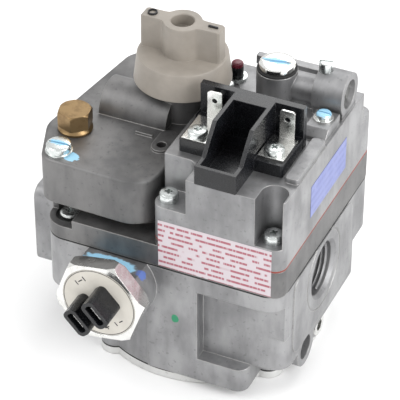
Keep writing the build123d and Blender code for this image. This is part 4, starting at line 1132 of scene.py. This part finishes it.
@dataclass
class PipeThread:
    """Helical ridge of an internal thread in one bore."""

    name: str
    mouth_x: float
    centre: tuple[float, float]
    radius: float
    length: float
    axis: Axis
    pitch: float = 0.00181
    depth: float = 0.00095
    steps: int = 56

    def build(self) -> None:
        """Model the ridge as a small triangle wound round the bore."""
        Bench.deselect()
        bpy.ops.mesh.primitive_circle_add(vertices=3, radius=self.depth, fill_type="NOTHING", location=(0, 0, 0))
        ridge = bpy.context.object
        ridge.name = self.name
        half = self.pitch / 2
        inner = (self.radius - self.depth, 0.0, 0.0)
        corners = [inner, (self.radius + 0.0002, 0.0, half * 0.92), (self.radius + 0.0002, 0.0, -half * 0.92)]
        for vertex, corner in zip(ridge.data.vertices, corners):
            vertex.co = corner
        turns = max(2, int(self.length / self.pitch) - 1)
        Bench.apply(
            ridge, "SCREW",
            {"angle": 2.0 * math.pi * turns, "screw_offset": -self.pitch * turns, "axis": "Z",
             "steps": self.steps * turns, "render_steps": self.steps * turns, "use_normal_calculate": True},
        )
        Bench.only(ridge)
        bpy.ops.object.mode_set(mode="EDIT")
        bpy.ops.mesh.select_all(action="SELECT")
        bpy.ops.mesh.fill_holes(sides=3)
        bpy.ops.mesh.normals_make_consistent(inside=False)
        bpy.ops.object.mode_set(mode="OBJECT")
        ridge.rotation_euler = self.axis.value
        sign = 1.0 if self.axis is Axis.RIGHT else -1.0
        ridge.location = (self.mouth_x - sign * self.pitch, *self.centre)
        Bench.settle(ridge)
        self.piece = ridge

    def dress(self, shop: Paintshop) -> None:
        """Finish the thread as the casting it is cut in."""
        Bench.smooth(self.piece, 40.0)
        shop.dress(self.piece, Stock.BODY)
        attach(self.piece, ROOT_BODY)


# --------------------------------------------------------------------------- power unit


@dataclass
class PowerUnitFront:
    """Chamfered hexagon nut and marks on the disc."""

    across_flats: float = 0.035
    turn: float = 20.0
    disc_radius: float = 0.0159
    socket: float = 0.0012
    shroud_tilt: float = 48.0
    dashes: tuple[tuple[float, float, float, float], ...] = (
        (-0.0118, 0.0022, 0.0022, 0.0), (-0.0118, 0.0, 0.0022, 90.0), (-0.0118, -0.0022, 0.0022, 0.0),
        (0.0112, 0.0030, 0.0020, 90.0), (0.0112, 0.0, 0.0020, 0.0),
        (0.0108, -0.0050, 0.0022, 0.0), (0.0108, -0.0050, 0.0022, 90.0),
    )

    def build(self) -> None:
        """Model the nut and the marks on the disc."""
        low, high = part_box("power_nut")
        centre = (low + high) / 2
        thick = high.y - low.y
        corner = self.across_flats / math.sqrt(3.0)
        at = (centre.x, high.y, centre.z)
        nut = Bench.turned(
            "nut", [(corner, 0.0), (corner, thick)], at, Axis.FRONT, 6, spin=math.radians(-self.turn)
        )
        crown = Bench.turned(
            "crown",
            [(corner * 0.90, -0.001), (corner * 0.935, 0.0), (corner * 1.01, 0.0016),
             (corner * 1.01, thick - 0.0016),
             (corner * 0.93, thick), (corner * 0.5, thick)],
            at, Axis.FRONT, 96,
        )
        Bench.combine(nut, crown, "INTERSECT")
        pocket = Bench.turned(
            "pocket",
            [(self.disc_radius, thick - self.socket), (self.disc_radius, thick - 0.0003),
             (self.disc_radius + 0.0005, thick + 0.0002), (self.disc_radius + 0.0005, thick + 0.002)],
            at, Axis.FRONT, 96,
        )
        Bench.combine(nut, pocket)
        nut.name = "hexagon_nut"
        self.nut = nut
        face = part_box("power_disc")[0].y
        self.marks = self._marks(Vector((centre.x, face, centre.z)))

    def _marks(self, centre: Vector) -> bpy.types.Object:
        """Model the printed groove ring and a few plain marks on the disc."""
        ring = Bench.turned(
            "disc_marks",
            [(0.01560, -0.0002), (0.01560, 0.00006), (0.01535, 0.00006), (0.01535, -0.0001)],
            tuple(centre), Axis.FRONT, 96,
        )
        parts = [ring]
        tilt = math.radians(self.shroud_tilt)
        along = Vector((math.cos(tilt), 0.0, -math.sin(tilt)))
        across = Vector((math.sin(tilt), 0.0, math.cos(tilt)))
        for u, v, length, turn in self.dashes:
            spot = centre + along * u + across * v
            dash = Bench.block(
                "dash", (spot.x - length / 2, spot.y - 0.00006, spot.z - 0.00022),
                (spot.x + length / 2, spot.y, spot.z + 0.00022),
            )
            Bench.turn(dash, self.shroud_tilt + turn, "Y", tuple(spot))
            parts.append(dash)
        return Bench.join(parts)

    def dress(self, shop: Paintshop) -> None:
        """Finish the nut and the marks."""
        Bench.smooth(self.nut, 26.0)
        shop.dress(self.nut, Stock.BRIGHT)
        shop.dress(self.marks, Stock.BLACK)
        for piece, slot in ((self.nut, "bright_nickel"), (self.marks, "black_plastic")):
            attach(piece, ROOT_BODY)
        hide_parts("power_nut")


# --------------------------------------------------------------------------- caps and buttons


@dataclass
class TurnedCap:
    """A turned, slotted cap that stands for one node."""

    node: str
    name: str
    stock: Stock
    slot: str
    body: str = ROOT_BODY
    rim: float = 0.0006
    groove_width: float = 0.0
    groove_depth: float = 0.0
    groove_turn: float = 0.0
    stem_radius: float = 0.0
    head_height: float = 0.0
    dome: float = 0.0

    def build(self) -> None:
        """Model the cap."""
        low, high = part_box(self.node)
        centre = (low + high) / 2
        radius = (high.x - low.x) / 2
        foot = high.z - (self.head_height or high.z - low.z)
        height = high.z - foot
        steps = []
        if self.stem_radius:
            steps += [(self.stem_radius, low.z - foot), (self.stem_radius, 0.0)]
        steps += [
            (radius - self.rim * 0.5, 0.0),
            (radius, self.rim * 0.5),
            (radius, height - self.dome - self.rim),
            (radius - self.rim * 0.3, height - self.dome - self.rim * 0.3),
            (radius - self.rim, height - self.dome),
            (radius * 0.75, height - self.dome * 0.45),
            (radius * 0.45, height - self.dome * 0.1),
            (radius * 0.15, height),
        ]
        self.piece = Bench.turned(self.name, steps, (centre.x, centre.y, foot), sides=56)
        if self.groove_depth:
            half = self.groove_width / 2
            tool = Bench.block(
                "groove_tool", (centre.x - 2 * radius, centre.y - half, high.z - self.groove_depth),
                (centre.x + 2 * radius, centre.y + half, high.z + height),
            )
            Bench.turn(tool, self.groove_turn, "Z", (centre.x, centre.y, high.z))
            Bench.combine(self.piece, tool)

    def dress(self, shop: Paintshop) -> None:
        """Finish the cap."""
        hand_over(self.piece, shop, self.stock, self.node, self.body)


# --------------------------------------------------------------------------- return springs


@dataclass
class ReturnSpring:
    """Coil spring copied from its node, with its seams merged."""

    node: str
    joint: str
    travel: float
    along: int = 2
    held_high: bool = False

    def build(self) -> None:
        """Copy the coil and merge its seams."""
        self.piece = bpy.data.objects.new(f"{self.node}_coil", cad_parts[self.node].data.copy())
        bpy.context.collection.objects.link(self.piece)
        Bench.only(self.piece)
        bpy.ops.object.mode_set(mode="EDIT")
        bpy.ops.mesh.select_all(action="SELECT")
        bpy.ops.mesh.remove_doubles(threshold=0.000001)
        bpy.ops.object.mode_set(mode="OBJECT")

    def dress(self, shop: Paintshop) -> None:
        """Finish the coil and give it its own mesh."""
        hand_over(self.piece, shop, Stock.STEEL, self.node, angle=40.0)
        low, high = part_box(self.node)
        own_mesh(self.piece)


# --------------------------------------------------------------------------- assembly


def dress_frame(shop: Paintshop) -> None:
    """Give every node of the frame its finish.

    Args:
        shop: Where the finishes are made.
    """
    for node, stock in NODE_STOCK.items():
        shop.dress(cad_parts[node], stock)


def main() -> None:
    """Build the studio and every sub-assembly in order."""
    logging.basicConfig(level=logging.INFO, format="%(name)s: %(message)s")
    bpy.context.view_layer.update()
    Studio().build()
    shop = Paintshop()
    dress_frame(shop)
    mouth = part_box("main_body")
    pipe_axis = (-0.0048, 0.0424)
    pipe_radius = 0.0117
    chamfer = 0.0016
    sub_assemblies = [
        CockKnob(),
        HexPlug(),
        MachineScrews("operator_screws"),
        MachineScrews("cover_screws"),
        MachineScrews("terminal_screws", head_height=0.0026, shank_radius=0.0019),
        MachineScrews("terminal_block_screw", head_radius=0.0035, head_height=0.0024, shank_radius=0.0019),
        MachineScrews(
            "seal_screw", head_radius=0.0051, head_height=0.0032, recess=Recess.SLOT, recess_turns=(4.0,), dome=0.18
        ),
        MachineScrews(
            "pilot_adjuster", "pilot_screw", head_radius=0.0031, head_height=0.0022, shank_radius=0.0017,
            recess=Recess.SLOT, recess_turns=(0.0,), recess_width=0.0007,
        ),
        PowerUnitFront(),
        TurnedCap(
            "regulator_cap", "slotted_regulator_cap", Stock.BRIGHT, "bright_nickel", groove_width=0.0015,
            groove_depth=0.0012, groove_turn=13.0, stem_radius=0.0055, head_height=0.0026, dome=0.0002,
        ),
        TurnedCap(
            "vent_stud", "slotted_vent_stud", Stock.STEEL, "steel", groove_width=0.0009, groove_depth=0.0012,
            groove_turn=20.0, stem_radius=0.0020, head_height=0.0046, rim=0.0005,
        ),
        TurnedCap("reset_button", "reset_cap", Stock.RED, "red_plastic", body="reset", rim=0.0007, dome=0.0003),
        ReturnSpring("knob_spring", "knob_push", 0.0015),
        ReturnSpring("reset_spring", "reset_push", 0.004),
        ReturnSpring("safety_spring", "safety_lift", 0.004, along=1),
        ReturnSpring("main_valve_spring", "main_valve_lift", 0.003, held_high=True),
        ReturnSpring("plunger_spring", "plunger_pull", 0.0015, held_high=True),
        PipeThread("outlet_thread", mouth[1].x - chamfer, pipe_axis, pipe_radius, 0.0184, Axis.RIGHT),
        PipeThread("inlet_thread", mouth[0].x + chamfer, pipe_axis, pipe_radius, 0.0170, Axis.LEFT),
    ]
    for part in sub_assemblies:
        part.build()
        part.dress(shop)
        LOG.info("built %s", type(part).__name__)


if __name__ == "__main__":
    main()
